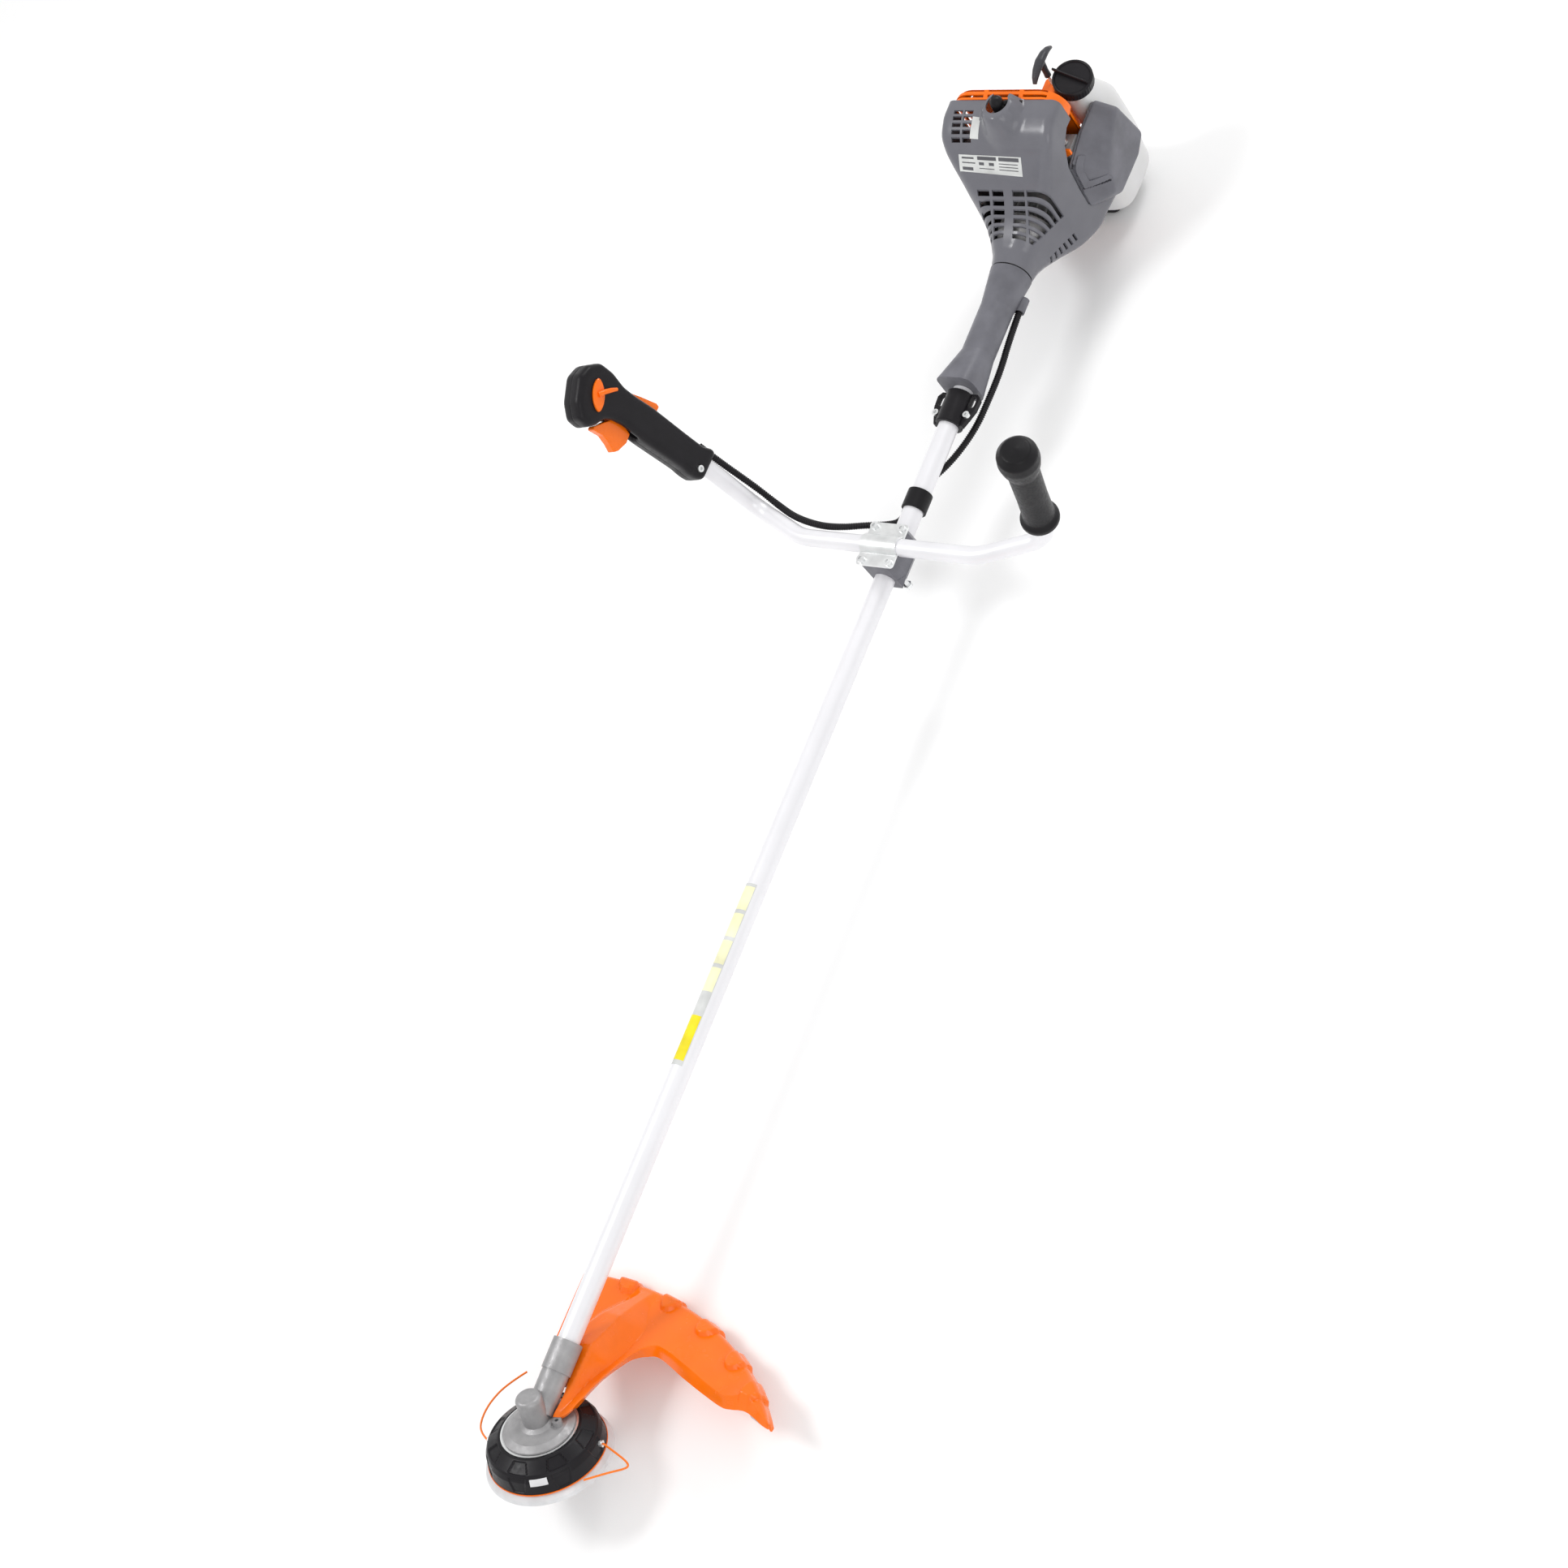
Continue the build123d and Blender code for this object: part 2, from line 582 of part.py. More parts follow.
LOCK_PIVOT = (-7.0, 155.5)
LOCK_PIN_R = 1.2
SWITCH_CENTRE = (21.0, 200.0)
SWITCH_STEM_R = 2.5
GRIP_SCREWS = [
    Plane(origin=THROTTLE.from_local_coords(Vector(15, 26, -15)), z_dir=-THROTTLE.z_dir)
]

with BuildPart() as throttle_grip_inner:
    with BuildSketch(THROTTLE):
        with BuildLine():
            Polyline(*GRIP_OUTLINE, close=True)
        make_face()
        fillet(vertices(), 1.8)
    extrude(amount=-GRIP_HALF)
    fillet(throttle_grip_inner.faces().sort_by(Axis(THROTTLE.origin, THROTTLE.z_dir))[0].edges(), 7)
    with BuildSketch(THROTTLE.offset(-6.4)):
        with BuildLine():
            Polyline(*TRIGGER_SLOT, close=True)
        make_face()
    extrude(amount=7, mode=Mode.SUBTRACT)
    with BuildSketch(THROTTLE.offset(-5)):
        with BuildLine():
            Polyline(*LOCK_SLOT, close=True)
        make_face()
    extrude(amount=6, mode=Mode.SUBTRACT)
    with BuildSketch(THROTTLE_UP):
        Circle(BAR_R + TOUCH)
    extrude(amount=BAR_IN_GRIP, mode=Mode.SUBTRACT)
    with BuildSketch(THROTTLE_UP):
        with Locations((-16, 1.5)):
            Circle(CONDUIT_R + TOUCH)
    extrude(amount=CONDUIT_IN_GRIP + 1, mode=Mode.SUBTRACT)
    for plane in GRIP_SCREWS:
        with BuildSketch(plane.offset(4)):
            Circle(SCREW_R + 2.2)
        extrude(amount=-4, mode=Mode.SUBTRACT)
        with BuildSketch(plane):
            Circle(SCREW_R + 0.1)
        extrude(amount=-16, mode=Mode.SUBTRACT)
    with BuildSketch(THROTTLE.offset(-GRIP_HALF)):
        with Locations(SWITCH_CENTRE):
            Circle(SWITCH_STEM_R + RUNNING)
    extrude(amount=7, mode=Mode.SUBTRACT)
    # pivot pins of the trigger and the lock, moulded on this half
    with BuildSketch(THROTTLE.offset(-7)):
        with Locations(TRIGGER_PIVOT):
            Circle(TRIGGER_PIN_R)
        with Locations(LOCK_PIVOT):
            Circle(LOCK_PIN_R)
    extrude(amount=11.5)

with BuildPart() as throttle_grip_outer:
    with BuildSketch(THROTTLE.offset(0.05)):
        with BuildLine():
            Polyline(*GRIP_OUTLINE, close=True)
        make_face()
        fillet(vertices(), 1.8)
    extrude(amount=GRIP_HALF)
    fillet(throttle_grip_outer.faces().sort_by(Axis(THROTTLE.origin, THROTTLE.z_dir))[-1].edges(), 7)
    with BuildSketch(THROTTLE):
        with BuildLine():
            Polyline(*TRIGGER_SLOT, close=True)
        make_face()
    extrude(amount=6.4, mode=Mode.SUBTRACT)
    with BuildSketch(THROTTLE):
        with BuildLine():
            Polyline(*LOCK_SLOT, close=True)
        make_face()
    extrude(amount=5, mode=Mode.SUBTRACT)
    with BuildSketch(THROTTLE_UP):
        Circle(BAR_R + TOUCH)
    extrude(amount=BAR_IN_GRIP, mode=Mode.SUBTRACT)
    with BuildSketch(THROTTLE_UP):
        with Locations((-16, 1.5)):
            Circle(CONDUIT_R + TOUCH)
    extrude(amount=CONDUIT_IN_GRIP + 1, mode=Mode.SUBTRACT)

with BuildPart() as throttle_trigger:
    with BuildSketch(THROTTLE.offset(-6)):
        with BuildLine():
            Polyline(*TRIGGER_OUTLINE, close=True)
        make_face()
        fillet(vertices(), 1.2)
        with Locations(TRIGGER_PIVOT):
            Circle(4)
            Circle(TRIGGER_PIN_R + RUNNING, mode=Mode.SUBTRACT)
    extrude(amount=12)

with BuildPart() as throttle_lock:
    with BuildSketch(THROTTLE.offset(-4.5)):
        with BuildLine():
            Polyline(*LOCK_OUTLINE, close=True)
        make_face()
        fillet(vertices(), 0.9)
        with Locations(LOCK_PIVOT):
            Circle(3.2)
            Circle(LOCK_PIN_R + RUNNING, mode=Mode.SUBTRACT)
    extrude(amount=9)

with BuildPart() as stop_switch:
    with BuildSketch(THROTTLE.offset(-GRIP_HALF - 0.3)):
        with BuildLine():
            Polyline(*SWITCH_OUTLINE, close=True)
        make_face()
        fillet(vertices(), 2)
    extrude(amount=-2.5)
    with BuildSketch(THROTTLE.offset(-GRIP_HALF - 2.8)):
        with BuildLine():
            Polyline(*SWITCH_LEVER, close=True)
        make_face()
        fillet(vertices(), 1.5)
    extrude(amount=-6)
    with BuildSketch(THROTTLE.offset(-GRIP_HALF - 0.3)):
        with Locations(SWITCH_CENTRE):
            Circle(SWITCH_STEM_R)
    extrude(amount=6)

# ---------------------------------------------------------------- throttle cable conduit
CONDUIT_ROUTE = [
    at(20.5, 1480, -17.5), at(21.5, 1440, -19), at(25.5, 1395, -21.5), at(26, 1350, -21),
    at(23, 1308, -23), at(9, 1262, -23), at(-8, 1228, -19), at(-15.5, 1212, -9.2),
    at(-15.5, 1162, -9.2), at(-23, 1146, 8), at(-42, 1134, 24), at(-66, 1124, 32),
    at(-100, 1122.5, 32), at(-143, 1131, 31), at(-177, 1146, 31), at(-198, 1155, 41),
    at(-208, 1156.5, 62),
]
CONDUIT_ROUTE += [
    THROTTLE_UP.from_local_coords(Vector(-16, 1.5, height)) for height in (0, CONDUIT_IN_GRIP)
]
print("conduit radii", smooth_radii(CONDUIT_ROUTE))

with BuildPart() as control_conduit:
    with BuildLine():
        conduit_path = FilletPolyline(*CONDUIT_ROUTE, radius=smooth_radii(CONDUIT_ROUTE))
    with BuildSketch(Plane(origin=conduit_path @ 0, z_dir=conduit_path % 0)):
        Circle(CONDUIT_R)
    sweep()

BAND_STATION = 1173.0
BAND_LENGTH = 26.0

with BuildPart() as cable_band:
    with BuildSketch(across(BAND_STATION)):
        Circle(TUBE_R + 3)
        with Locations((15.5, -9.2)):
            Circle(CONDUIT_R + 2.2)
    extrude(amount=BAND_LENGTH)
    fillet(cable_band.edges().filter_by(GeomType.CIRCLE), 1)
    with BuildSketch(across(BAND_STATION)):
        Circle(TUBE_R + TOUCH)
    extrude(amount=BAND_LENGTH, mode=Mode.SUBTRACT)
    with BuildSketch(across(BAND_STATION)):
        with Locations((15.5, -9.2)):
            Circle(CONDUIT_R + 0.4)
    extrude(amount=BAND_LENGTH, mode=Mode.SUBTRACT)

# ---------------------------------------------------------------- harness hanger
HANGER_FRONT = 1296.0
HANGER_LENGTH = 46.0
EAR_THICKNESS = 7.0
EAR_OUTLINE = [(10, 1296), (21, 1296), (30, 1320), (31, 1336), (26, 1342), (10, 1342)]
HANGER_HOLE = (22.5, 1331.0)
HANGER_SCREW_AT = (22.8, HANGER_FRONT + 15)
HANGER_SCREWS = [
    Plane(
        origin=at(hand * HANGER_SCREW_AT[0], HANGER_SCREW_AT[1], EAR_THICKNESS / 2),
        z_dir=(0, 0, 1),
    )
    for hand in (-1, 1)
]

with BuildPart() as harness_hanger:
    with BuildSketch(across(HANGER_FRONT)):
        Circle(TUBE_R + 5)
    extrude(amount=HANGER_LENGTH)
    chamfer(harness_hanger.edges().filter_by(GeomType.CIRCLE), 1.5)
    with BuildSketch(level(-EAR_THICKNESS / 2)):
        for hand in (-1, 1):
            with BuildLine():
                Polyline(*[(hand * x, y) for x, y in EAR_OUTLINE], close=True)
            make_face()
    extrude(amount=EAR_THICKNESS)
    with BuildSketch(level(-EAR_THICKNESS / 2)):
        with Locations((HANGER_HOLE[0], HANGER_HOLE[1]), (-HANGER_HOLE[0], HANGER_HOLE[1])):
            SlotOverall(18, 9, rotation=90)
    extrude(amount=EAR_THICKNESS, mode=Mode.SUBTRACT)
    with BuildSketch(across(HANGER_FRONT)):
        Circle(TUBE_R + TOUCH)
    extrude(amount=HANGER_LENGTH, mode=Mode.SUBTRACT)
    with BuildSketch(level(EAR_THICKNESS / 2)):
        with Locations(*[(hand * HANGER_SCREW_AT[0], HANGER_SCREW_AT[1]) for hand in (-1, 1)]):
            Circle(SCREW_R + 0.1)
    extrude(amount=-EAR_THICKNESS, mode=Mode.SUBTRACT)

# ---------------------------------------------------------------- neck sleeve
# Every section is its station, the corners of a rounded box (low x, high x, low z, high z)
# and the radius of the corners; low x is the right hand.
SLEEVE_SECTIONS = [
    (1348, -29, 24, -22, 31, 14),
    (1400, -21, 21, -20.5, 21, 19),
    (1470, -21, 21, -20.5, 21, 19),
    (1521, -27, 27, -27, 27, 25),
]
SLEEVE_BORE_END = 1504.0


def box_middle(section):
    """Centre of a section, in the local coordinates of across()."""
    return (-(section[1] + section[2]) / 2, (section[3] + section[4]) / 2)


with BuildPart() as neck_sleeve:
    for section in SLEEVE_SECTIONS:
        with BuildSketch(across(section[0])):
            with Locations(box_middle(section)):
                RectangleRounded(section[2] - section[1], section[4] - section[3], section[5])
    loft(ruled=True)
    with BuildSketch(across(SLEEVE_SECTIONS[0][0])):
        Circle(TUBE_R + TOUCH)
    extrude(amount=SLEEVE_BORE_END - SLEEVE_SECTIONS[0][0], mode=Mode.SUBTRACT)
    with BuildSketch(across(SLEEVE_BORE_END)):
        Circle(20)
    extrude(amount=20, mode=Mode.SUBTRACT)
    with BuildSketch(across(1478)):
        with Locations((-20.5, -17.5)):
            Circle(CONDUIT_R + 2.5)
    extrude(amount=20)
    with BuildSketch(across(1478)):
        with Locations((-20.5, -17.5)):
            Circle(CONDUIT_R + SLIDING)
    extrude(amount=16, mode=Mode.SUBTRACT)

# ---------------------------------------------------------------- clutch
HOUSING_STATIONS = [
    (1505, 17.5), (1536, 17.5), (1545, 20), (1552, 24), (1562, 32), (1571, 37.4), (1578, 38.5),
    (1590, 38.5),
]
# Each bore is its first station, its last station and its radius.
HOUSING_BORES = [
    (1505, TUBE_REAR, TUBE_R), (TUBE_REAR, 1551, 11), (1551, 1571, 14), (1571, 1590, 36.5),
]
DRUM_PROFILE = [
    (1540, 4.02), (1576, 4.02), (1576, 33), (1590, 33), (1590, 35), (1573, 35), (1573, 5.97),
    (1540, 5.97),
]
SHOE_GAP = 8.0

with BuildPart() as clutch_housing:
    with BuildSketch(side(0)):
        with BuildLine():
            Polyline((1505, 0), *HOUSING_STATIONS, (1590, 0), close=True)
        make_face()
    revolve(axis=SHAFT_AXIS)
    for start, end, radius in HOUSING_BORES:
        with BuildSketch(across(start)):
            Circle(radius + TOUCH)
        extrude(amount=end - start, mode=Mode.SUBTRACT)

with BuildPart() as clutch_drum:
    with BuildSketch(side(0)):
        with BuildLine():
            Polyline(*DRUM_PROFILE, close=True)
        make_face()
    revolve(axis=SHAFT_AXIS)

with BuildPart() as clutch_shoes:
    with BuildSketch(across(1577.5)):
        Circle(32.6)
        Circle(7.52, mode=Mode.SUBTRACT)
        Rectangle(SHOE_GAP, 80, mode=Mode.SUBTRACT)
    extrude(amount=11)

# ---------------------------------------------------------------- flywheel
FLYWHEEL_FRONT = 1598.0
FLYWHEEL_R = 41.0

with BuildPart() as flywheel:
    with BuildSketch(across(FLYWHEEL_FRONT + 10)):
        Circle(FLYWHEEL_R)
    extrude(amount=14)
    with BuildSketch(across(FLYWHEEL_FRONT)):
        with PolarLocations(31, 18):
            RectangleRounded(16, 2.4, 1, rotation=18)
        Circle(20)
    extrude(amount=10)
    with BuildSketch(across(FLYWHEEL_FRONT)):
        Circle(7.52)
    extrude(amount=24, mode=Mode.SUBTRACT)

# ---------------------------------------------------------------- crankcase, cylinder and crank train
CASE_FRONT = 1627.0
CASE_REAR = 1698.0
DECK_TOP = 41.5
HEAD_TOP = 130.0
PISTON_TOP = 97.0
CRANK_PROFILE = [
    (1593, 0), (1593, 7.48), (1644.5, 7.48), (1644.5, 28), (1654.5, 28), (1654.5, 0),
]
CRANK_REAR_PROFILE = [
    (1673.5, 0), (1673.5, 28), (1683.5, 28), (1683.5, 7.48), (1699.5, 7.48), (1699.5, 0),
]

with BuildPart() as crankcase:
    with BuildSketch(across(CASE_FRONT)):
        Circle(38)
        with Locations((0, 26)):
            Rectangle(66, 31)
    extrude(amount=CASE_REAR - CASE_FRONT)
    fillet(crankcase.edges().filter_by(Axis.Z), 5)
    with BuildSketch(across(1642)):
        Circle(30.5)
    extrude(amount=43, mode=Mode.SUBTRACT)
    with BuildSketch(across(CASE_FRONT)):
        Circle(10)
    extrude(amount=CASE_REAR - CASE_FRONT, mode=Mode.SUBTRACT)
    for station in CRANK_SEATS:
        with BuildSketch(across(station)):
            Circle(BEARING_6202[1] + TOUCH)
        extrude(amount=BEARING_6202[2], mode=Mode.SUBTRACT)
    with BuildSketch(level(0)):
        with Locations((0, CYLINDER_STATION)):
            Circle(ENGINE_BORE_R + 0.5)
    extrude(amount=DECK_TOP, mode=Mode.SUBTRACT)

with BuildPart() as cylinder:
    with BuildSketch(level(DECK_TOP + 0.05)):
        with Locations((0, CYLINDER_STATION)):
            RectangleRounded(62, 62, 8)
    extrude(amount=6)
    with BuildSketch(level(DECK_TOP + 0.05)):
        with Locations((0, CYLINDER_STATION)):
            Circle(29)
    extrude(amount=HEAD_TOP - DECK_TOP - 8.1)
    for fin in range(9):
        with BuildSketch(level(54 + 7.5 * fin)):
            with Locations((0, CYLINDER_STATION)):
                RectangleRounded(76, 62, 12)
        extrude(amount=2.4)
    with BuildSketch(level(DECK_TOP)):
        with Locations((0, CYLINDER_STATION)):
            Circle(ENGINE_BORE_R + RUNNING)
    extrude(amount=58, mode=Mode.SUBTRACT)
    with BuildSketch(level(DECK_TOP)):
        with Locations((0, CYLINDER_STATION)):
            Circle(5 + TOUCH)
    extrude(amount=100, mode=Mode.SUBTRACT)

with BuildPart() as piston:
    with BuildSketch(level(PISTON_TOP - 35)):
        with Locations((0, CYLINDER_STATION)):
            Circle(ENGINE_BORE_R)
    extrude(amount=35)
    with BuildSketch(level(PISTON_TOP - 35)):
        with Locations((0, CYLINDER_STATION)):
            Circle(18)
    extrude(amount=30, mode=Mode.SUBTRACT)

with BuildPart() as connecting_rod:
    with BuildSketch(across(1659)):
        with Locations((0, CRANK_THROW)):
            Circle(11)
        with Locations((0, 78)):
            Circle(8)
        with Locations((0, 47)):
            Rectangle(8, 56)
    extrude(amount=10)
    with BuildSketch(across(1655.5)):
        with Locations((0, CRANK_THROW)):
            Circle(6.5)
    extrude(amount=17)
    with BuildSketch(across(1647)):
        with Locations((0, 78)):
            Circle(4.5)
    extrude(amount=34)

with BuildPart() as crankshaft:
    with BuildSketch(side(0)):
        with BuildLine():
            Polyline(*CRANK_PROFILE, close=True)
        make_face()
        with BuildLine():
            Polyline(*CRANK_REAR_PROFILE, close=True)
        make_face()
    revolve(axis=SHAFT_AXIS)

with BuildPart() as spark_plug:
    with BuildSketch(level(PISTON_TOP + 3)):
        with Locations((0, CYLINDER_STATION)):
            Circle(5)
    extrude(amount=HEAD_TOP - 8 - PISTON_TOP - 3)
    with BuildSketch(level(HEAD_TOP - 8)):
        with Locations((0, CYLINDER_STATION)):
            RegularPolygon(9.5, 6)
    extrude(amount=9)
    with BuildSketch(level(HEAD_TOP + 1)):
        with Locations((0, CYLINDER_STATION)):
            Circle(5)
    extrude(amount=18)

BOOT_TOP = 170.0

with BuildPart() as plug_boot:
    with BuildSketch(level(HEAD_TOP + 3)):
        with Locations((0, CYLINDER_STATION)):
            Circle(8.5)
    extrude(amount=BOOT_TOP - HEAD_TOP - 3)
    fillet(plug_boot.edges().sort_by(Axis.Z)[-1], 5)
    with Locations(level(BOOT_TOP - 8)):
        with Locations((0, CYLINDER_STATION + 12)):
            Cylinder(5.5, 22, rotation=(90, 0, 0))
    with BuildSketch(level(HEAD_TOP + 3)):
        with Locations((0, CYLINDER_STATION)):
            Circle(5 + TOUCH)
    extrude(amount=16.1, mode=Mode.SUBTRACT)

# ---------------------------------------------------------------- exhaust and carburettor
CARB_AXIS = (57.0, 1668.0)
PRIMER_R = 7.5

with BuildPart() as muffler:
    with BuildSketch(level(30)):
        with Locations((-62.5, CYLINDER_STATION)):
            RectangleRounded(35, 56, 7)
    extrude(amount=65)
    fillet(muffler.edges().group_by(Axis.Z)[0] + muffler.edges().group_by(Axis.Z)[-1], 5)
    with BuildSketch(side(-45)):
        with Locations((CYLINDER_STATION, 60)):
            Rectangle(34, 26)
    extrude(amount=6.9)

with BuildPart() as carburettor:
    with BuildSketch(side(38.1)):
        with Locations((CARB_AXIS[1], 60)):
            Rectangle(34, 26)
    extrude(amount=8)
    with BuildSketch(side(46.1)):
        with Locations((CARB_AXIS[1], 58)):
            RectangleRounded(30, 38, 3)
    extrude(amount=21.9)
    with BuildSketch(side(68)):
        with Locations((CARB_AXIS[1], 60)):
            Circle(8)
    extrude(amount=-29.9, mode=Mode.SUBTRACT)
    with BuildSketch(level(76)):
        with Locations(CARB_AXIS):
            Circle(2.97)
    extrude(amount=6.5)
    with BuildSketch(across(1654)):
        with Locations((-CARB_AXIS[0], 74)):
            Circle(2.97)
    extrude(amount=-6.5)
    with BuildSketch(level(39)):
        with Locations(CARB_AXIS):
            Circle(PRIMER_R + 0.5)
    extrude(amount=6, mode=Mode.SUBTRACT)

with BuildPart() as carb_throttle_lever:
    with BuildSketch(level(78)):
        with Locations(CARB_AXIS):
            Circle(5)
        with Locations((CARB_AXIS[0] - 1.5, CARB_AXIS[1] - 5.5)):
            Rectangle(5, 10)
        with Locations(CARB_AXIS):
            Circle(3, mode=Mode.SUBTRACT)
    extrude(amount=2)

CHOKE_OUTLINE = [
    (-52, 71), (-57, 68), (-71, 76), (-75, 78), (-75, 86), (-68, 86), (-60, 80), (-53, 78),
]

with BuildPart() as choke_lever:
    with BuildSketch(across(1652.5)):
        with BuildLine():
            Polyline(*CHOKE_OUTLINE, close=True)
        make_face()
        with Locations((-CARB_AXIS[0], 74)):
            Circle(3, mode=Mode.SUBTRACT)
    extrude(amount=-3)

with BuildPart() as primer_bulb:
    with BuildSketch(level(39.5)):
        with Locations(CARB_AXIS):
            Circle(PRIMER_R)
    extrude(amount=-10)
    fillet(primer_bulb.edges().sort_by(Axis.Z)[0], 5)

# ---------------------------------------------------------------- air filter
FILTER_RIM = [
    (1631, -2), (1637, 67), (1686, 76), (1736, 76), (1752, -5), (1724, -19), (1645, -17),
]
FILTER_FACE = [
    (1650, 2), (1664, 28), (1692, 50), (1732, 69), (1747, -5), (1721, -16), (1663, -14),
]
FILTER_IN = 72.0
FILTER_OUT = 102.0
FILTER_WALL = 2.5

with BuildPart() as filter_cover:
    for x, outline in ((FILTER_IN, FILTER_RIM), (FILTER_OUT, FILTER_FACE)):
        with BuildSketch(side(x)):
            with BuildLine():
                Polyline(*outline, close=True)
            make_face()
            fillet(vertices(), 6)
    loft(ruled=True)
    for x, outline in ((FILTER_IN - 0.5, FILTER_RIM), (FILTER_OUT - FILTER_WALL, FILTER_FACE)):
        with BuildSketch(side(x)):
            with BuildLine():
                Polyline(*outline, close=True)
            make_face()
            fillet(vertices(), 6)
            offset(amount=-FILTER_WALL, mode=Mode.REPLACE)
    loft(ruled=True, mode=Mode.SUBTRACT)

with BuildPart() as filter_base:
    with BuildSketch(side(68.2)):
        with BuildLine():
            Polyline(*FILTER_RIM, close=True)
        make_face()
        fillet(vertices(), 6)
        offset(amount=-1, mode=Mode.REPLACE)
        with Locations((CARB_AXIS[1], 60)):
            Circle(8, mode=Mode.SUBTRACT)
    extrude(amount=3.6)

# ---------------------------------------------------------------- engine shroud
# Sections as for the neck sleeve: station, low x, high x, low z, high z, corner radius.
SHROUD_WALL = 2.5
SHROUD_SECTIONS = [
    (1523, -27, 27, -27, 27, 26.5), (1545, -34, 32, -31, 34, 30), (1575, -49, 46, -42, 50, 36),
    (1600, -66, 58, -46, 74, 34), (1630, -88, 70, -46, 124, 32), (1655, -90, 73, -46, 142, 30),
    (1680, -88, 76, -46, 148, 26),
]
STARTER_SECTIONS = [
    (1680.3, -88, 76, -46, 148, 26), (1692, -86, 76, -46, 152, 32), (1706, -66, 56, -46, 132, 32),
]
STARTER_HOLLOW = STARTER_SECTIONS[:2] + [(1703, -66, 56, -46, 132, 32)]
BAY_OUTLINE = [
    (1628, -6), (1634, 70), (1650, 95), (1672, 112), (1692, 118), (1712, 118), (1712, -30),
    (1640, -24),
]
SLOT_STATIONS = (1554, 1561, 1568, 1575, 1582, 1589)
SLOT_COLUMNS = ((-38, -28), (-25, -8), (6, 24), (27, 60))
GRILLE_STATIONS = (1634, 1641.5, 1649, 1656.5, 1664)
GRILLE_COLUMNS = ((-72, -59), (-56, -43))
HUMP_TOP = 162.0

with BuildPart() as shroud:
    for section in SHROUD_SECTIONS:
        with BuildSketch(across(section[0])):
            with Locations(box_middle(section)):
                RectangleRounded(section[2] - section[1], section[4] - section[3], section[5])
    loft(ruled=True)
    with BuildSketch(level(95)):
        with Locations((0, CYLINDER_STATION)):
            Circle(34)
    with BuildSketch(level(HUMP_TOP)):
        with Locations((0, CYLINDER_STATION)):
            Circle(18)
    loft()
    for section in SHROUD_SECTIONS:
        with BuildSketch(across(section[0])):
            with Locations(box_middle(section)):
                RectangleRounded(
                    section[2] - section[1] - 2 * SHROUD_WALL,
                    section[4] - section[3] - 2 * SHROUD_WALL,
                    section[5] - SHROUD_WALL,
                )
    loft(ruled=True, mode=Mode.SUBTRACT)
    with BuildSketch(level(90)):
        with Locations((0, CYLINDER_STATION)):
            Circle(32.5)
    with BuildSketch(level(HUMP_TOP + 1)):
        with Locations((0, CYLINDER_STATION)):
            Circle(15.4)
    loft(mode=Mode.SUBTRACT)
    with BuildSketch(across(1680)):
        Rectangle(400, 400)
    extrude(amount=60, mode=Mode.SUBTRACT)
    with BuildSketch(level(146)):
        with Locations((0, CYLINDER_STATION + 20)):
            Rectangle(24, 30)
    extrude(amount=30, mode=Mode.SUBTRACT)
    with BuildSketch(side(55)):
        with BuildLine():
            Polyline(*BAY_OUTLINE, close=True)
        make_face()
    extrude(amount=40, mode=Mode.SUBTRACT)
    with BuildSketch(level(24)):
        for station in SLOT_STATIONS:
            for low, high in SLOT_COLUMNS:
                with Locations(((low + high) / 2, station)):
                    Rectangle(high - low, 4)
    extrude(amount=80, mode=Mode.SUBTRACT)
    with BuildSketch(level(110)):
        for station in GRILLE_STATIONS:
            for low, high in GRILLE_COLUMNS:
                with Locations(((low + high) / 2, station)):
                    Rectangle(high - low, 4.8)
    extrude(amount=60, mode=Mode.SUBTRACT)
    with BuildSketch(side(20)):
        with Locations(*[(station, -18) for station in range(1560, 1602, 7)]):
            Rectangle(3, 13)
    extrude(amount=60, mode=Mode.SUBTRACT)

# ---------------------------------------------------------------- recoil starter
RECOIL_R = 44.0
RECOIL_REAR = 1720.0
PULLEY_R = 34.0
PULLEY_FRONT = 1702.0
ROPE_R = 1.8
HANDLE_AT = at(20, 1745, 131)
PULL = Vector(-0.1, 0.2, 0.97).normalized()
ROPE_LENGTH = 80.0
HANDLE_PLANE = Plane(origin=HANDLE_AT, x_dir=Vector(0, 1, 0) - PULL * PULL.Y, z_dir=PULL)
HANDLE_OUTLINE = [
    (-27, -6), (-27, 2), (-16, 9), (16, 9), (27, 2), (27, -6), (12, 1), (5, -3), (4, -14),
    (-4, -14), (-5, -3), (-12, 1),
]

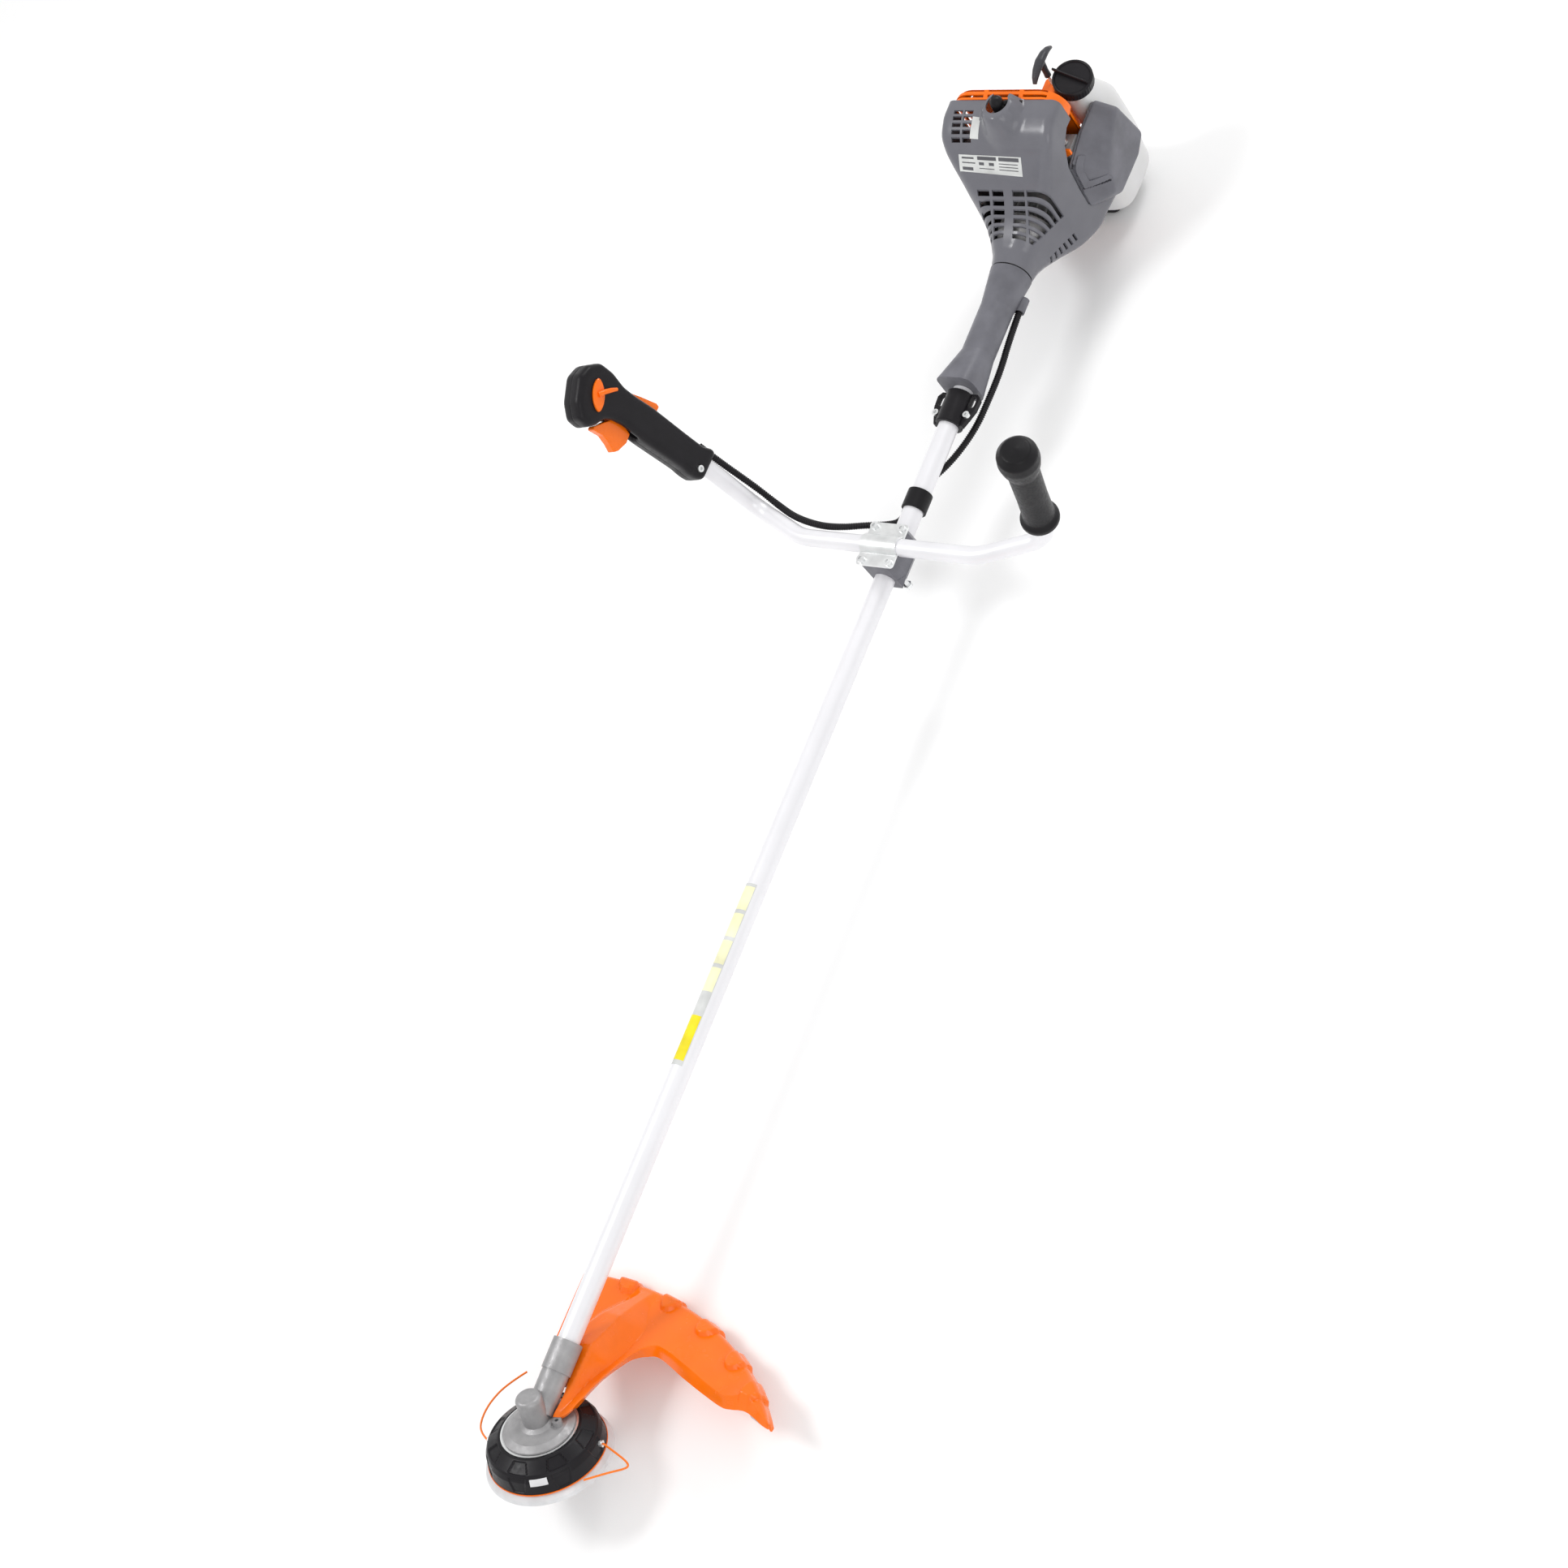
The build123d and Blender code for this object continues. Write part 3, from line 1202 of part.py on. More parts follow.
with BuildPart() as starter_housing:
    for section in STARTER_SECTIONS:
        with BuildSketch(across(section[0])):
            with Locations(box_middle(section)):
                RectangleRounded(section[2] - section[1], section[4] - section[3], section[5])
    loft(ruled=True)
    with BuildSketch(across(1690)):
        Circle(RECOIL_R)
    extrude(amount=RECOIL_REAR - 1690)
    with BuildSketch(level(28)):
        with Locations((21.5, 1724)):
            RectangleRounded(19, 44, 3)
    extrude(amount=76)
    for section in STARTER_HOLLOW:
        with BuildSketch(across(section[0])):
            with Locations(box_middle(section)):
                RectangleRounded(
                    section[2] - section[1] - 2 * SHROUD_WALL,
                    section[4] - section[3] - 2 * SHROUD_WALL,
                    section[5] - SHROUD_WALL,
                )
    loft(ruled=True, mode=Mode.SUBTRACT)
    with BuildSketch(across(1690)):
        Circle(RECOIL_R - SHROUD_WALL)
    extrude(amount=RECOIL_REAR - SHROUD_WALL - 1690, mode=Mode.SUBTRACT)
    with BuildSketch(across(1699.9)):
        Circle(5.97)
    extrude(amount=RECOIL_REAR - 1699.9)
    with BuildSketch(side(60)):
        with BuildLine():
            Polyline(*BAY_OUTLINE, close=True)
        make_face()
    extrude(amount=40, mode=Mode.SUBTRACT)
    with BuildSketch(level(62)):
        for station in (1684.5, 1691.5, 1698.5):
            for low, high in ((-95, -34), (-28, 18), (24, 58)):
                with Locations(((low + high) / 2, station)):
                    Rectangle(high - low, 3.4)
    extrude(amount=100, mode=Mode.SUBTRACT)
    with BuildSketch(HANDLE_PLANE.offset(-ROPE_LENGTH - 2)):
        Circle(ROPE_R + 0.4)
    extrude(amount=ROPE_LENGTH, mode=Mode.SUBTRACT)

with BuildPart() as starter_pulley:
    with BuildSketch(across(PULLEY_FRONT)):
        Circle(PULLEY_R)
    extrude(amount=10)
    with BuildSketch(across(PULLEY_FRONT + 2.5)):
        Circle(PULLEY_R + 1)
        Circle(PULLEY_R - 6, mode=Mode.SUBTRACT)
    extrude(amount=5, mode=Mode.SUBTRACT)
    with BuildSketch(across(PULLEY_FRONT)):
        Circle(6)
    extrude(amount=10, mode=Mode.SUBTRACT)

with BuildPart() as starter_rope:
    with BuildSketch(HANDLE_PLANE.offset(-ROPE_LENGTH)):
        Circle(ROPE_R)
    extrude(amount=ROPE_LENGTH - 6)

with BuildPart() as starter_handle:
    with BuildSketch(Plane(origin=HANDLE_AT, x_dir=HANDLE_PLANE.x_dir, z_dir=-HANDLE_PLANE.y_dir)):
        with BuildLine():
            Polyline(*HANDLE_OUTLINE, close=True)
        make_face()
        fillet(vertices(), 1.6)
    extrude(amount=7, both=True)
    fillet(starter_handle.faces().sort_by(Axis(HANDLE_AT, HANDLE_PLANE.y_dir))[0].edges(), 2.5)
    fillet(starter_handle.faces().sort_by(Axis(HANDLE_AT, HANDLE_PLANE.y_dir))[-1].edges(), 2.5)
    with BuildSketch(HANDLE_PLANE.offset(-15)):
        Circle(ROPE_R + TOUCH)
    extrude(amount=9, mode=Mode.SUBTRACT)

# ---------------------------------------------------------------- fuel tank, cap and stand
TANK_TOP = -46.3
TANK_BOTTOM = -104.0
RISER_SECTION = [(-37.5, -60), (-37.5, 103), (-66, 95), (-66, -60)]
RISER_SIDE = [(1722, -80), (1722, 118), (1757, 102), (1790, 40), (1792, -20), (1788, -80)]
CAP_OUT = Vector(0.27, -0.09, 0.958).normalized()
NECK_AT = at(55.5, 1737, 98)
TANK_NECK_R = 17.0
CAP_R_OUT = 26.0

with BuildPart() as fuel_tank:
    with BuildSketch(across(1722)):
        with BuildLine():
            Polyline(*RISER_SECTION, close=True)
        make_face()
    extrude(amount=70)
    with BuildSketch(side(30)):
        with BuildLine():
            Polyline(*RISER_SIDE, close=True)
        make_face()
    extrude(amount=40, mode=Mode.INTERSECT)
    fillet(fuel_tank.edges().filter_by(Axis.Z), 6)
    with BuildSketch(level(TANK_BOTTOM)):
        with Locations((-3, 1741)):
            RectangleRounded(138, 98, 22)
    extrude(amount=TANK_TOP - TANK_BOTTOM)
    fillet(fuel_tank.edges().group_by(Axis.Z)[0], 8)
    with BuildSketch(Plane(origin=NECK_AT - CAP_OUT * 8, z_dir=CAP_OUT)):
        Circle(TANK_NECK_R)
    extrude(amount=30)
    with BuildSketch(Plane(origin=NECK_AT + CAP_OUT * 23, z_dir=CAP_OUT)):
        Circle(TANK_NECK_R - 3)
    extrude(amount=-40, mode=Mode.SUBTRACT)

with BuildPart() as fuel_cap:
    with BuildSketch(Plane(origin=NECK_AT + CAP_OUT * 10, z_dir=CAP_OUT)):
        Circle(CAP_R_OUT)
    extrude(amount=16)
    chamfer(fuel_cap.edges().sort_by(Axis(NECK_AT, CAP_OUT))[-1], 1.5)
    with BuildSketch(Plane(origin=NECK_AT + CAP_OUT * 26, z_dir=CAP_OUT)):
        SlotOverall(2 * CAP_R_OUT - 2, 4, rotation=90)
    extrude(amount=4)
    with BuildSketch(Plane(origin=NECK_AT + CAP_OUT * 10, z_dir=CAP_OUT)):
        Circle(TANK_NECK_R + 0.35)
    extrude(amount=12.5, mode=Mode.SUBTRACT)

STAND_TOP = TANK_BOTTOM - 0.2

with BuildPart() as base_stand:
    with BuildSketch(level(-SHAFT_Z)):
        with Locations((-7, 1744)):
            RectangleRounded(84, 80, 12)
    extrude(amount=SHAFT_Z + STAND_TOP)
    chamfer(base_stand.edges().group_by(Axis.Z)[0], 2)

# ---------------------------------------------------------------- cap screws
SCREWS = [(plane, GUARD_SCREW_LENGTH) for plane in GUARD_SCREWS]
SCREWS += [(plane, SCREW_LENGTH) for plane in GRIP_SCREWS + HANGER_SCREWS]

with BuildPart() as cap_screws:
    for plane, length in SCREWS:
        with BuildSketch(plane):
            Circle(4.4)
        extrude(amount=4)
        with BuildSketch(plane.offset(4)):
            RegularPolygon(2.3, 6)
        extrude(amount=-2.4, mode=Mode.SUBTRACT)
        with BuildSketch(plane):
            Circle(SCREW_R)
        extrude(amount=-length)

# ---------------------------------------------------------------- export
PIECES = {
    "ball_bearings": ball_bearings,
    "gear_case": gear_case,
    "pinion_shaft": pinion_shaft,
    "output_shaft": output_shaft,
    "mounting_flange": mounting_flange,
    "head_housing": head_housing,
    "line_eyelets": line_eyelets,
    "line_spool": line_spool,
    "wound_line": wound_line,
    "head_cover": head_cover,
    "bump_knob": bump_knob,
    "line_tail_folded": line_tail_folded,
    "line_tail_long": line_tail_long,
    "guard": guard,
    "line_cutter": line_cutter,
    "shaft_tube": shaft_tube,
    "drive_shaft": drive_shaft,
    "shaft_bushings": shaft_bushings,
    "handlebar": handlebar,
    "bar_clamp_block": bar_clamp_block,
    "bar_clamp_lower": bar_clamp_lower,
    "bar_clamp_plate": bar_clamp_plate,
    "bar_clamp_bolts": bar_clamp_bolts,
    "plain_grip": plain_grip,
    "throttle_grip_inner": throttle_grip_inner,
    "throttle_grip_outer": throttle_grip_outer,
    "throttle_trigger": throttle_trigger,
    "throttle_lock": throttle_lock,
    "stop_switch": stop_switch,
    "control_conduit": control_conduit,
    "cable_band": cable_band,
    "harness_hanger": harness_hanger,
    "neck_sleeve": neck_sleeve,
    "clutch_housing": clutch_housing,
    "clutch_drum": clutch_drum,
    "clutch_shoes": clutch_shoes,
    "flywheel": flywheel,
    "crankcase": crankcase,
    "cylinder": cylinder,
    "piston": piston,
    "connecting_rod": connecting_rod,
    "crankshaft": crankshaft,
    "spark_plug": spark_plug,
    "plug_boot": plug_boot,
    "muffler": muffler,
    "carburettor": carburettor,
    "carb_throttle_lever": carb_throttle_lever,
    "choke_lever": choke_lever,
    "primer_bulb": primer_bulb,
    "filter_cover": filter_cover,
    "filter_base": filter_base,
    "shroud": shroud,
    "starter_housing": starter_housing,
    "starter_pulley": starter_pulley,
    "starter_rope": starter_rope,
    "starter_handle": starter_handle,
    "fuel_tank": fuel_tank,
    "fuel_cap": fuel_cap,
    "base_stand": base_stand,
    "cap_screws": cap_screws,
}

for name, piece in PIECES.items():
    piece.part.label = name
    export_step(piece.part, f"parts/{name}.step")
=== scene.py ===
import json
import math
import bmesh
import bpy
from mathutils import Matrix, Vector


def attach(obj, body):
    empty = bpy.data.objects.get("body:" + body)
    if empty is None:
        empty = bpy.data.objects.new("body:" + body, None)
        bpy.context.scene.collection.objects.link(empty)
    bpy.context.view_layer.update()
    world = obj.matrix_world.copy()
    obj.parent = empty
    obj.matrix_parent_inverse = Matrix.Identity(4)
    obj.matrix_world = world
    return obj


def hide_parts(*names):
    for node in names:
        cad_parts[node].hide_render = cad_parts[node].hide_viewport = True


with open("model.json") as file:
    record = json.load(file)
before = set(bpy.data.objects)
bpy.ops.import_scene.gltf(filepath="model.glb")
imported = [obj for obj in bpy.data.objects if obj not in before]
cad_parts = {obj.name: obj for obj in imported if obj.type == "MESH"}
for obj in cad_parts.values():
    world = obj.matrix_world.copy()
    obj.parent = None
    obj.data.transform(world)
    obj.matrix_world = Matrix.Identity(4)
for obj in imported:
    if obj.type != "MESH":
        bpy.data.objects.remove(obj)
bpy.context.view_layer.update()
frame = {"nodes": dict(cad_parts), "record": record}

NODES = frame["nodes"]

# ------------------------------------------------------------------ frame of the shaft
# Lengths are millimetres until at(), deck(), grip() or MM turns them into metres. The camera's
# place, the lamps and the floor are in metres.
MM = 0.001
SHAFT_Z = 125.0
BASE_STATION = 1715.0
SPINDLE_UP = Vector((0, 0.5, math.sqrt(0.75)))
DECK_Y = Vector((0, math.sqrt(0.75), -0.5))
SHAFT_CROSSING = Vector((0, -BASE_STATION, SHAFT_Z))


def at(x, station, z):
    """A point from the shaft axis: x to the left hand, station along the shaft, z up."""
    return Vector((x, station - BASE_STATION, SHAFT_Z + z)) * MM


def deck(x, y, h):
    """A point from the crossing of shaft and spindle, in the plane of the cutting head."""
    return (SHAFT_CROSSING + Vector((x, 0, 0)) + DECK_Y * y + SPINDLE_UP * h) * MM


# ------------------------------------------------------------------ camera, light, floor
CAMERA_AT = Vector((1.9149, -1.8751, 2.6081))
CAMERA_BACK = Vector((0.589, -0.289, 0.755))
CAMERA_UP = Vector((-0.140, 0.884, 0.447))
FOCAL_MM = 63.35
SENSOR_MM = 36.0
# Name, place, target, size and power of each lamp.
LAMPS = [
    ("key", (-1.6, -1.6, 3.6), (0, -0.9, 0.1), 1.2, 44),
    ("fill", (2.8, -2.8, 2.2), (0, -0.9, 0.1), 2.2, 20),
    ("back", (0.8, 2.4, 2.6), (0, -0.4, 0.15), 1.2, 34),
]
WORLD_STRENGTH = 0.80
FLOOR_HALF = 14.0
FLOOR_GREY = 0.96


def make_camera():
    data = bpy.data.cameras.new("camera")
    data.lens = FOCAL_MM
    data.sensor_width = SENSOR_MM
    camera = bpy.data.objects.new("camera", data)
    bpy.context.scene.collection.objects.link(camera)
    back = CAMERA_BACK.normalized()
    right = CAMERA_UP.cross(back).normalized()
    up = back.cross(right)
    turn = Matrix((right, up, back)).transposed().to_4x4()
    camera.matrix_world = Matrix.Translation(CAMERA_AT) @ turn
    bpy.context.scene.camera = camera


def make_light(name, place, target, size, power):
    data = bpy.data.lights.new(name, "AREA")
    data.shape = "DISK"
    data.size = size
    data.energy = power
    light = bpy.data.objects.new(name, data)
    bpy.context.scene.collection.objects.link(light)
    light.location = place
    light.rotation_euler = (Vector(target) - Vector(place)).to_track_quat("-Z", "Y").to_euler()


def make_floor():
    mesh = bpy.data.meshes.new("floor")
    half = FLOOR_HALF
    corners = [(-half, -half, 0), (half, -half, 0), (half, half, 0), (-half, half, 0)]
    mesh.from_pydata(corners, [], [(0, 1, 2, 3)])
    floor = bpy.data.objects.new("floor", mesh)
    bpy.context.scene.collection.objects.link(floor)
    material = bpy.data.materials.new("floor")
    material.use_nodes = True
    shader = material.node_tree.nodes["Principled BSDF"]
    shader.inputs["Base Color"].default_value = (FLOOR_GREY, FLOOR_GREY, FLOOR_GREY, 1)
    shader.inputs["Roughness"].default_value = 0.7
    shader.inputs["Specular IOR Level"].default_value = 0.1
    mesh.materials.append(material)


def make_world():
    world = bpy.data.worlds.new("world")
    bpy.context.scene.world = world
    world.use_nodes = True
    background = world.node_tree.nodes["Background"]
    background.inputs["Color"].default_value = (1.0, 1.0, 1.0, 1)
    background.inputs["Strength"].default_value = WORLD_STRENGTH


make_camera()
make_world()
make_floor()
for lamp in LAMPS:
    make_light(*lamp)
bpy.context.scene.view_settings.view_transform = "Standard"


# ------------------------------------------------------------------ materials
class Surface:
    """A Principled material with helpers that add its nodes."""

    def __init__(self, name, color, rough, metal=0.0):
        self.material = bpy.data.materials.new(name)
        self.material.use_nodes = True
        self.nodes = self.material.node_tree.nodes
        self.links = self.material.node_tree.links
        self.shader = self.nodes["Principled BSDF"]
        self.shader.inputs["Base Color"].default_value = (*color, 1)
        self.shader.inputs["Roughness"].default_value = rough
        self.shader.inputs["Metallic"].default_value = metal
        self.color = color
        self.height = None

    def add(self, kind, **inputs):
        node = self.nodes.new("ShaderNode" + kind)
        for key, value in inputs.items():
            node.inputs[key.replace("_", " ")].default_value = value
        return node

    def noise(self, scale, detail=3.0, stretch=None):
        """Noise in object space, scale in features per metre."""
        place = self.nodes.new("ShaderNodeTexCoord")
        texture = self.add("TexNoise", Scale=scale, Detail=detail)
        vector = place.outputs["Object"]
        if stretch:
            mapping = self.nodes.new("ShaderNodeMapping")
            mapping.inputs["Scale"].default_value = stretch
            self.links.new(vector, mapping.inputs["Vector"])
            vector = mapping.outputs["Vector"]
        self.links.new(vector, texture.inputs["Vector"])
        return texture.outputs["Fac"]

    def ramp(self, fac, stops):
        ramp = self.nodes.new("ShaderNodeValToRGB")
        elements = ramp.color_ramp.elements
        while len(elements) < len(stops):
            elements.new(0.5)
        for element, (place, value) in zip(elements, stops):
            element.position = place
            element.color = (*value, 1) if isinstance(value, tuple) else (value, value, value, 1)
        self.links.new(fac, ramp.inputs["Fac"])
        return ramp.outputs["Color"]

    def vary_color(self, fac, low, high):
        """Base colour between low and high times the material's colour."""
        dark = tuple(min(1, c * low) for c in self.color)
        light = tuple(min(1, c * high) for c in self.color)
        color = self.ramp(fac, [(0.3, dark), (0.7, light)])
        self.links.new(color, self.shader.inputs["Base Color"])

    def vary_rough(self, fac, low, high):
        self.links.new(self.ramp(fac, [(0.3, low), (0.7, high)]), self.shader.inputs["Roughness"])

    def bump(self, fac, depth, strength=1.0):
        """Adds relief: depth in metres for the whole range of fac."""
        bump = self.add("Bump", Strength=strength, Distance=depth)
        self.links.new(fac, bump.inputs["Height"])
        if self.height:
            self.links.new(self.height, bump.inputs["Normal"])
        self.height = bump.outputs["Normal"]
        self.links.new(self.height, self.shader.inputs["Normal"])

    def coat(self, weight, rough):
        self.shader.inputs["Coat Weight"].default_value = weight
        self.shader.inputs["Coat Roughness"].default_value = rough


def gloss_plastic(name, color, rough=0.22):
    s = Surface(name, color, rough)
    s.vary_color(s.noise(28, 4), 0.94, 1.05)
    s.vary_rough(s.noise(90, 3), rough - 0.04, rough + 0.07)
    s.bump(s.noise(45, 2), 0.0001, 0.25)
    s.coat(0.08, 0.06)
    s.shader.inputs["Specular IOR Level"].default_value = 0.35
    return s.material


def grained_plastic(name, color, rough=0.55, depth=0.00012):
    s = Surface(name, color, rough)
    s.vary_color(s.noise(35, 4), 0.85, 1.15)
    s.vary_rough(s.noise(220, 3), rough - 0.08, rough + 0.08)
    s.bump(s.noise(1600, 2), depth, 0.6)
    s.shader.inputs["Specular IOR Level"].default_value = 0.22
    return s.material


def cast_metal(name, color, rough=0.42):
    s = Surface(name, color, rough, 0.55)
    s.vary_color(s.noise(60, 5), 0.82, 1.12)
    s.vary_rough(s.noise(260, 4), rough - 0.08, rough + 0.14)
    s.bump(s.noise(1100, 4), 0.00022, 0.6)
    return s.material


def bright_metal(name, color, rough=0.22, stretch=(1, 1, 1)):
    s = Surface(name, color, rough, 1.0)
    s.vary_color(s.noise(50, 3), 0.88, 1.05)
    s.vary_rough(s.noise(500, 4, stretch), rough - 0.06, rough + 0.16)
    s.bump(s.noise(400, 3, stretch), 0.00002, 0.2)
    return s.material


def painted_tube(name, color):
    s = Surface(name, color, 0.34, 0.2)
    s.vary_color(s.noise(18, 3, (1, 0.25, 1)), 0.95, 1.03)
    s.vary_rough(s.noise(60, 3), 0.3, 0.4)
    s.bump(s.noise(120, 2), 0.00002, 0.15)
    s.coat(0.25, 0.15)
    return s.material


def rubber(name, color, rough=0.68):
    s = Surface(name, color, rough)
    s.vary_color(s.noise(40, 4), 0.8, 1.25)
    s.vary_rough(s.noise(300, 3), rough - 0.1, rough + 0.08)
    s.bump(s.noise(2200, 2), 0.0001, 0.5)
    s.shader.inputs["Specular IOR Level"].default_value = 0.22
    return s.material


def milky_plastic(name):
    s = Surface(name, (0.80, 0.80, 0.80), 0.36)
    s.vary_color(s.noise(14, 3), 0.95, 1.03)
    s.vary_rough(s.noise(260, 3), 0.3, 0.44)
    s.bump(s.noise(900, 3), 0.00008, 0.4)
    s.shader.inputs["Subsurface Weight"].default_value = 0.5
    s.shader.inputs["Subsurface Radius"].default_value = (0.02, 0.02, 0.018)
    s.shader.inputs["Transmission Weight"].default_value = 0.12
    return s.material


def clear_plastic(name):
    s = Surface(name, (0.85, 0.88, 0.9), 0.12)
    s.vary_rough(s.noise(200, 3), 0.08, 0.2)
    s.bump(s.noise(300, 2), 0.0001, 0.3)
    s.shader.inputs["Transmission Weight"].default_value = 0.85
    s.shader.inputs["IOR"].default_value = 1.45
    return s.material


def braided_rope(name):
    s = Surface(name, (0.72, 0.70, 0.65), 0.8)
    weave = s.nodes.new("ShaderNodeTexWave")
    weave.inputs["Scale"].default_value = 300
    place = s.nodes.new("ShaderNodeTexCoord")
    s.links.new(place.outputs["Object"], weave.inputs["Vector"])
    s.bump(weave.outputs["Fac"], 0.0003, 0.8)
    s.vary_color(s.noise(800, 3), 0.8, 1.1)
    return s.material


ORANGE = (0.93, 0.165, 0.002)
SLOTS = {
    "cast_aluminium": cast_metal("cast_aluminium", (0.36, 0.355, 0.36)),
    "machined_steel": bright_metal("machined_steel", (0.48, 0.48, 0.49), 0.3),
    "zinc_steel": bright_metal("zinc_steel", (0.86, 0.87, 0.87), 0.34),
    "silver_paint": painted_tube("silver_paint", (0.84, 0.835, 0.86)),
    "black_plastic": grained_plastic("black_plastic", (0.009, 0.008, 0.010), 0.36),
    "white_plastic": grained_plastic("white_plastic", (0.66, 0.66, 0.67), 0.4),
    "orange_plastic": gloss_plastic("orange_plastic", ORANGE),
    "orange_line": gloss_plastic("orange_line", (0.92, 0.2, 0.01), 0.3),
    "grey_plastic": gloss_plastic("grey_plastic", (0.15, 0.15, 0.17), 0.2),
    "satin_grey_plastic": grained_plastic("satin_grey_plastic", (0.15, 0.15, 0.17), 0.38, 0.00006),
    "dark_grey_plastic": grained_plastic("dark_grey_plastic", (0.05, 0.05, 0.057), 0.34),
    "milky_plastic": milky_plastic("milky_plastic"),
    "clear_plastic": clear_plastic("clear_plastic"),
    "black_rubber": rubber("black_rubber", (0.007, 0.0065, 0.008), 0.42),
    "bronze_rubber": rubber("bronze_rubber", (0.07, 0.05, 0.03)),
    "rope": braided_rope("rope"),
}
LABEL_PAPER = grained_plastic("label_paper", (0.62, 0.63, 0.62), 0.5, 0.00003)
LABEL_PALE = grained_plastic("label_pale", (0.88, 0.86, 0.56), 0.5, 0.00003)
LABEL_INK = grained_plastic("label_ink", (0.10, 0.10, 0.11), 0.5, 0.00003)
LABEL_YELLOW = grained_plastic("label_yellow", (0.85, 0.72, 0.02), 0.45, 0.00003)
for part in frame["record"]["subparts"]:
    node = NODES[part["node"]]
    node.data.materials.clear()
    node.data.materials.append(SLOTS[part["material_slot"]])


# ------------------------------------------------------------------ mesh helpers
def smoothstep(low, high, value):
    t = min(1, max(0, (value - low) / (high - low)))
    return t * t * (3 - 2 * t)


def lerp(a, b, t):
    return a + (b - a) * t


def make_piece(name, points, faces, slot, body="frame", replaces=(), sharp=35, material=None):
    """A mesh from points in metres, riding on a CAD body and standing for CAD nodes."""
    mesh = bpy.data.meshes.new(name)
    mesh.from_pydata([tuple(p) for p in points], [], faces)
    return finish_piece(name, mesh, slot, body, replaces, sharp, material)


def finish_piece(name, mesh, slot, body="frame", replaces=(), sharp=35, material=None):
    mesh.materials.clear()
    mesh.materials.append(material or SLOTS[slot])
    soften(mesh, sharp)
    piece = bpy.data.objects.new(name, mesh)
    bpy.context.scene.collection.objects.link(piece)
    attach(piece, body)
    if replaces:
        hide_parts(*replaces)
    return piece


def soften(mesh, sharp):
    """Smooth shading, with edges over that many degrees kept sharp."""
    mesh.shade_smooth()
    mesh.set_sharp_from_angle(angle=math.radians(sharp))


def grid_faces(rows, columns, closed=True):
    """Faces of a grid of points stored row by row, closed round each row if asked."""
    faces = []
    for row in range(rows - 1):
        for column in range(columns if closed else columns - 1):
            after = (column + 1) % columns
            here = row * columns
            over = here + columns
            faces.append((here + column, here + after, over + after, over + column))
    return faces


def prism(points, step):
    """Points and faces of a closed prism: a flat outline, and the vector it is pushed along."""
    count = len(points)
    both = [Vector(p) for p in points] + [Vector(p) + step for p in points]
    faces = [tuple(reversed(range(count))), tuple(range(count, 2 * count))]
    for i in range(count):
        after = (i + 1) % count
        faces.append((i, after, count + after, count + i))
    return both, faces


def block(low, high):
    """Prism of the box between two corners given as (x, station, z)."""
    corners = [(low[0], low[1]), (high[0], low[1]), (high[0], high[1]), (low[0], high[1])]
    return prism([at(x, y, low[2]) for x, y in corners], Vector((0, 0, (high[2] - low[2]) * MM)))


def merged(parts):
    """One mesh from several (points, faces), with faces turned outwards."""
    points, faces = [], []
    for part_points, part_faces in parts:
        base = len(points)
        points += [tuple(p) for p in part_points]
        faces += [tuple(base + i for i in face) for face in part_faces]
    mesh = bpy.data.meshes.new("merged")
    mesh.from_pydata(points, [], faces)
    work = bmesh.new()
    work.from_mesh(mesh)
    bmesh.ops.recalc_face_normals(work, faces=work.faces)
    work.to_mesh(mesh)
    work.free()
    return mesh


def evaluated(thing):
    """The thing's mesh with its modifiers applied; the thing is removed."""
    depsgraph = bpy.context.evaluated_depsgraph_get()
    mesh = bpy.data.meshes.new_from_object(thing.evaluated_get(depsgraph))
    bpy.data.objects.remove(thing)
    return mesh


def scratch(mesh):
    thing = bpy.data.objects.new("scratch", mesh)
    bpy.context.scene.collection.objects.link(thing)
    return thing


def sheet_of(parts, thickness):
    """One mesh from several (points, faces), that many millimetres thick, half on each side."""
    thing = scratch(merged(parts))
    shell = thing.modifiers.new("shell", "SOLIDIFY")
    shell.thickness = thickness * MM
    shell.offset = 0
    return evaluated(thing)


def cut_away(mesh, cutters, thickness=0):
    """The mesh minus the cutters, first made that thick, towards where its faces look, if asked."""
    thing = scratch(mesh)
    if thickness:
        shell = thing.modifiers.new("shell", "SOLIDIFY")
        shell.thickness = thickness
        shell.offset = 1
    tools = []
    for cutter in cutters:
        tool = scratch(cutter)
        step = thing.modifiers.new("cut", "BOOLEAN")
        step.operation = "DIFFERENCE"
        step.solver = "EXACT"
        step.object = tool
        tools.append(tool)
    result = evaluated(thing)
    for tool in tools:
        bpy.data.objects.remove(tool)
    return result


def lathe(profile, origin, axis, side, around=96, shape=None):
    """Points and faces of a turned body: profile is (radius, height) pairs in millimetres."""
    other = axis.cross(side)
    points = []
    for radius, height in profile:
        for step in range(around):
            angle = 2 * math.pi * step / around
            r, h = (radius, height) if shape is None else shape(radius, height, angle)
            spoke = side * math.cos(angle) + other * math.sin(angle)
            points.append(origin + (spoke * r + axis * h) * MM)
    return points, grid_faces(len(profile), around)


def catmull(values, t):
    """Smooth value at t, counted in steps along the list."""
    i = min(len(values) - 2, int(t))
    u = t - i
    a, b = values[i], values[i + 1]
    before = values[i - 1] if i > 0 else 2 * a - b
    after = values[i + 2] if i + 2 < len(values) else 2 * b - a
    curve = 2 * b - 2 * a
    return 0.5 * (
        2 * a + (b - before) * u + (2 * before - 5 * a + 4 * b - after) * u * u
        + (after - before - 1.5 * curve) * u ** 3
    )


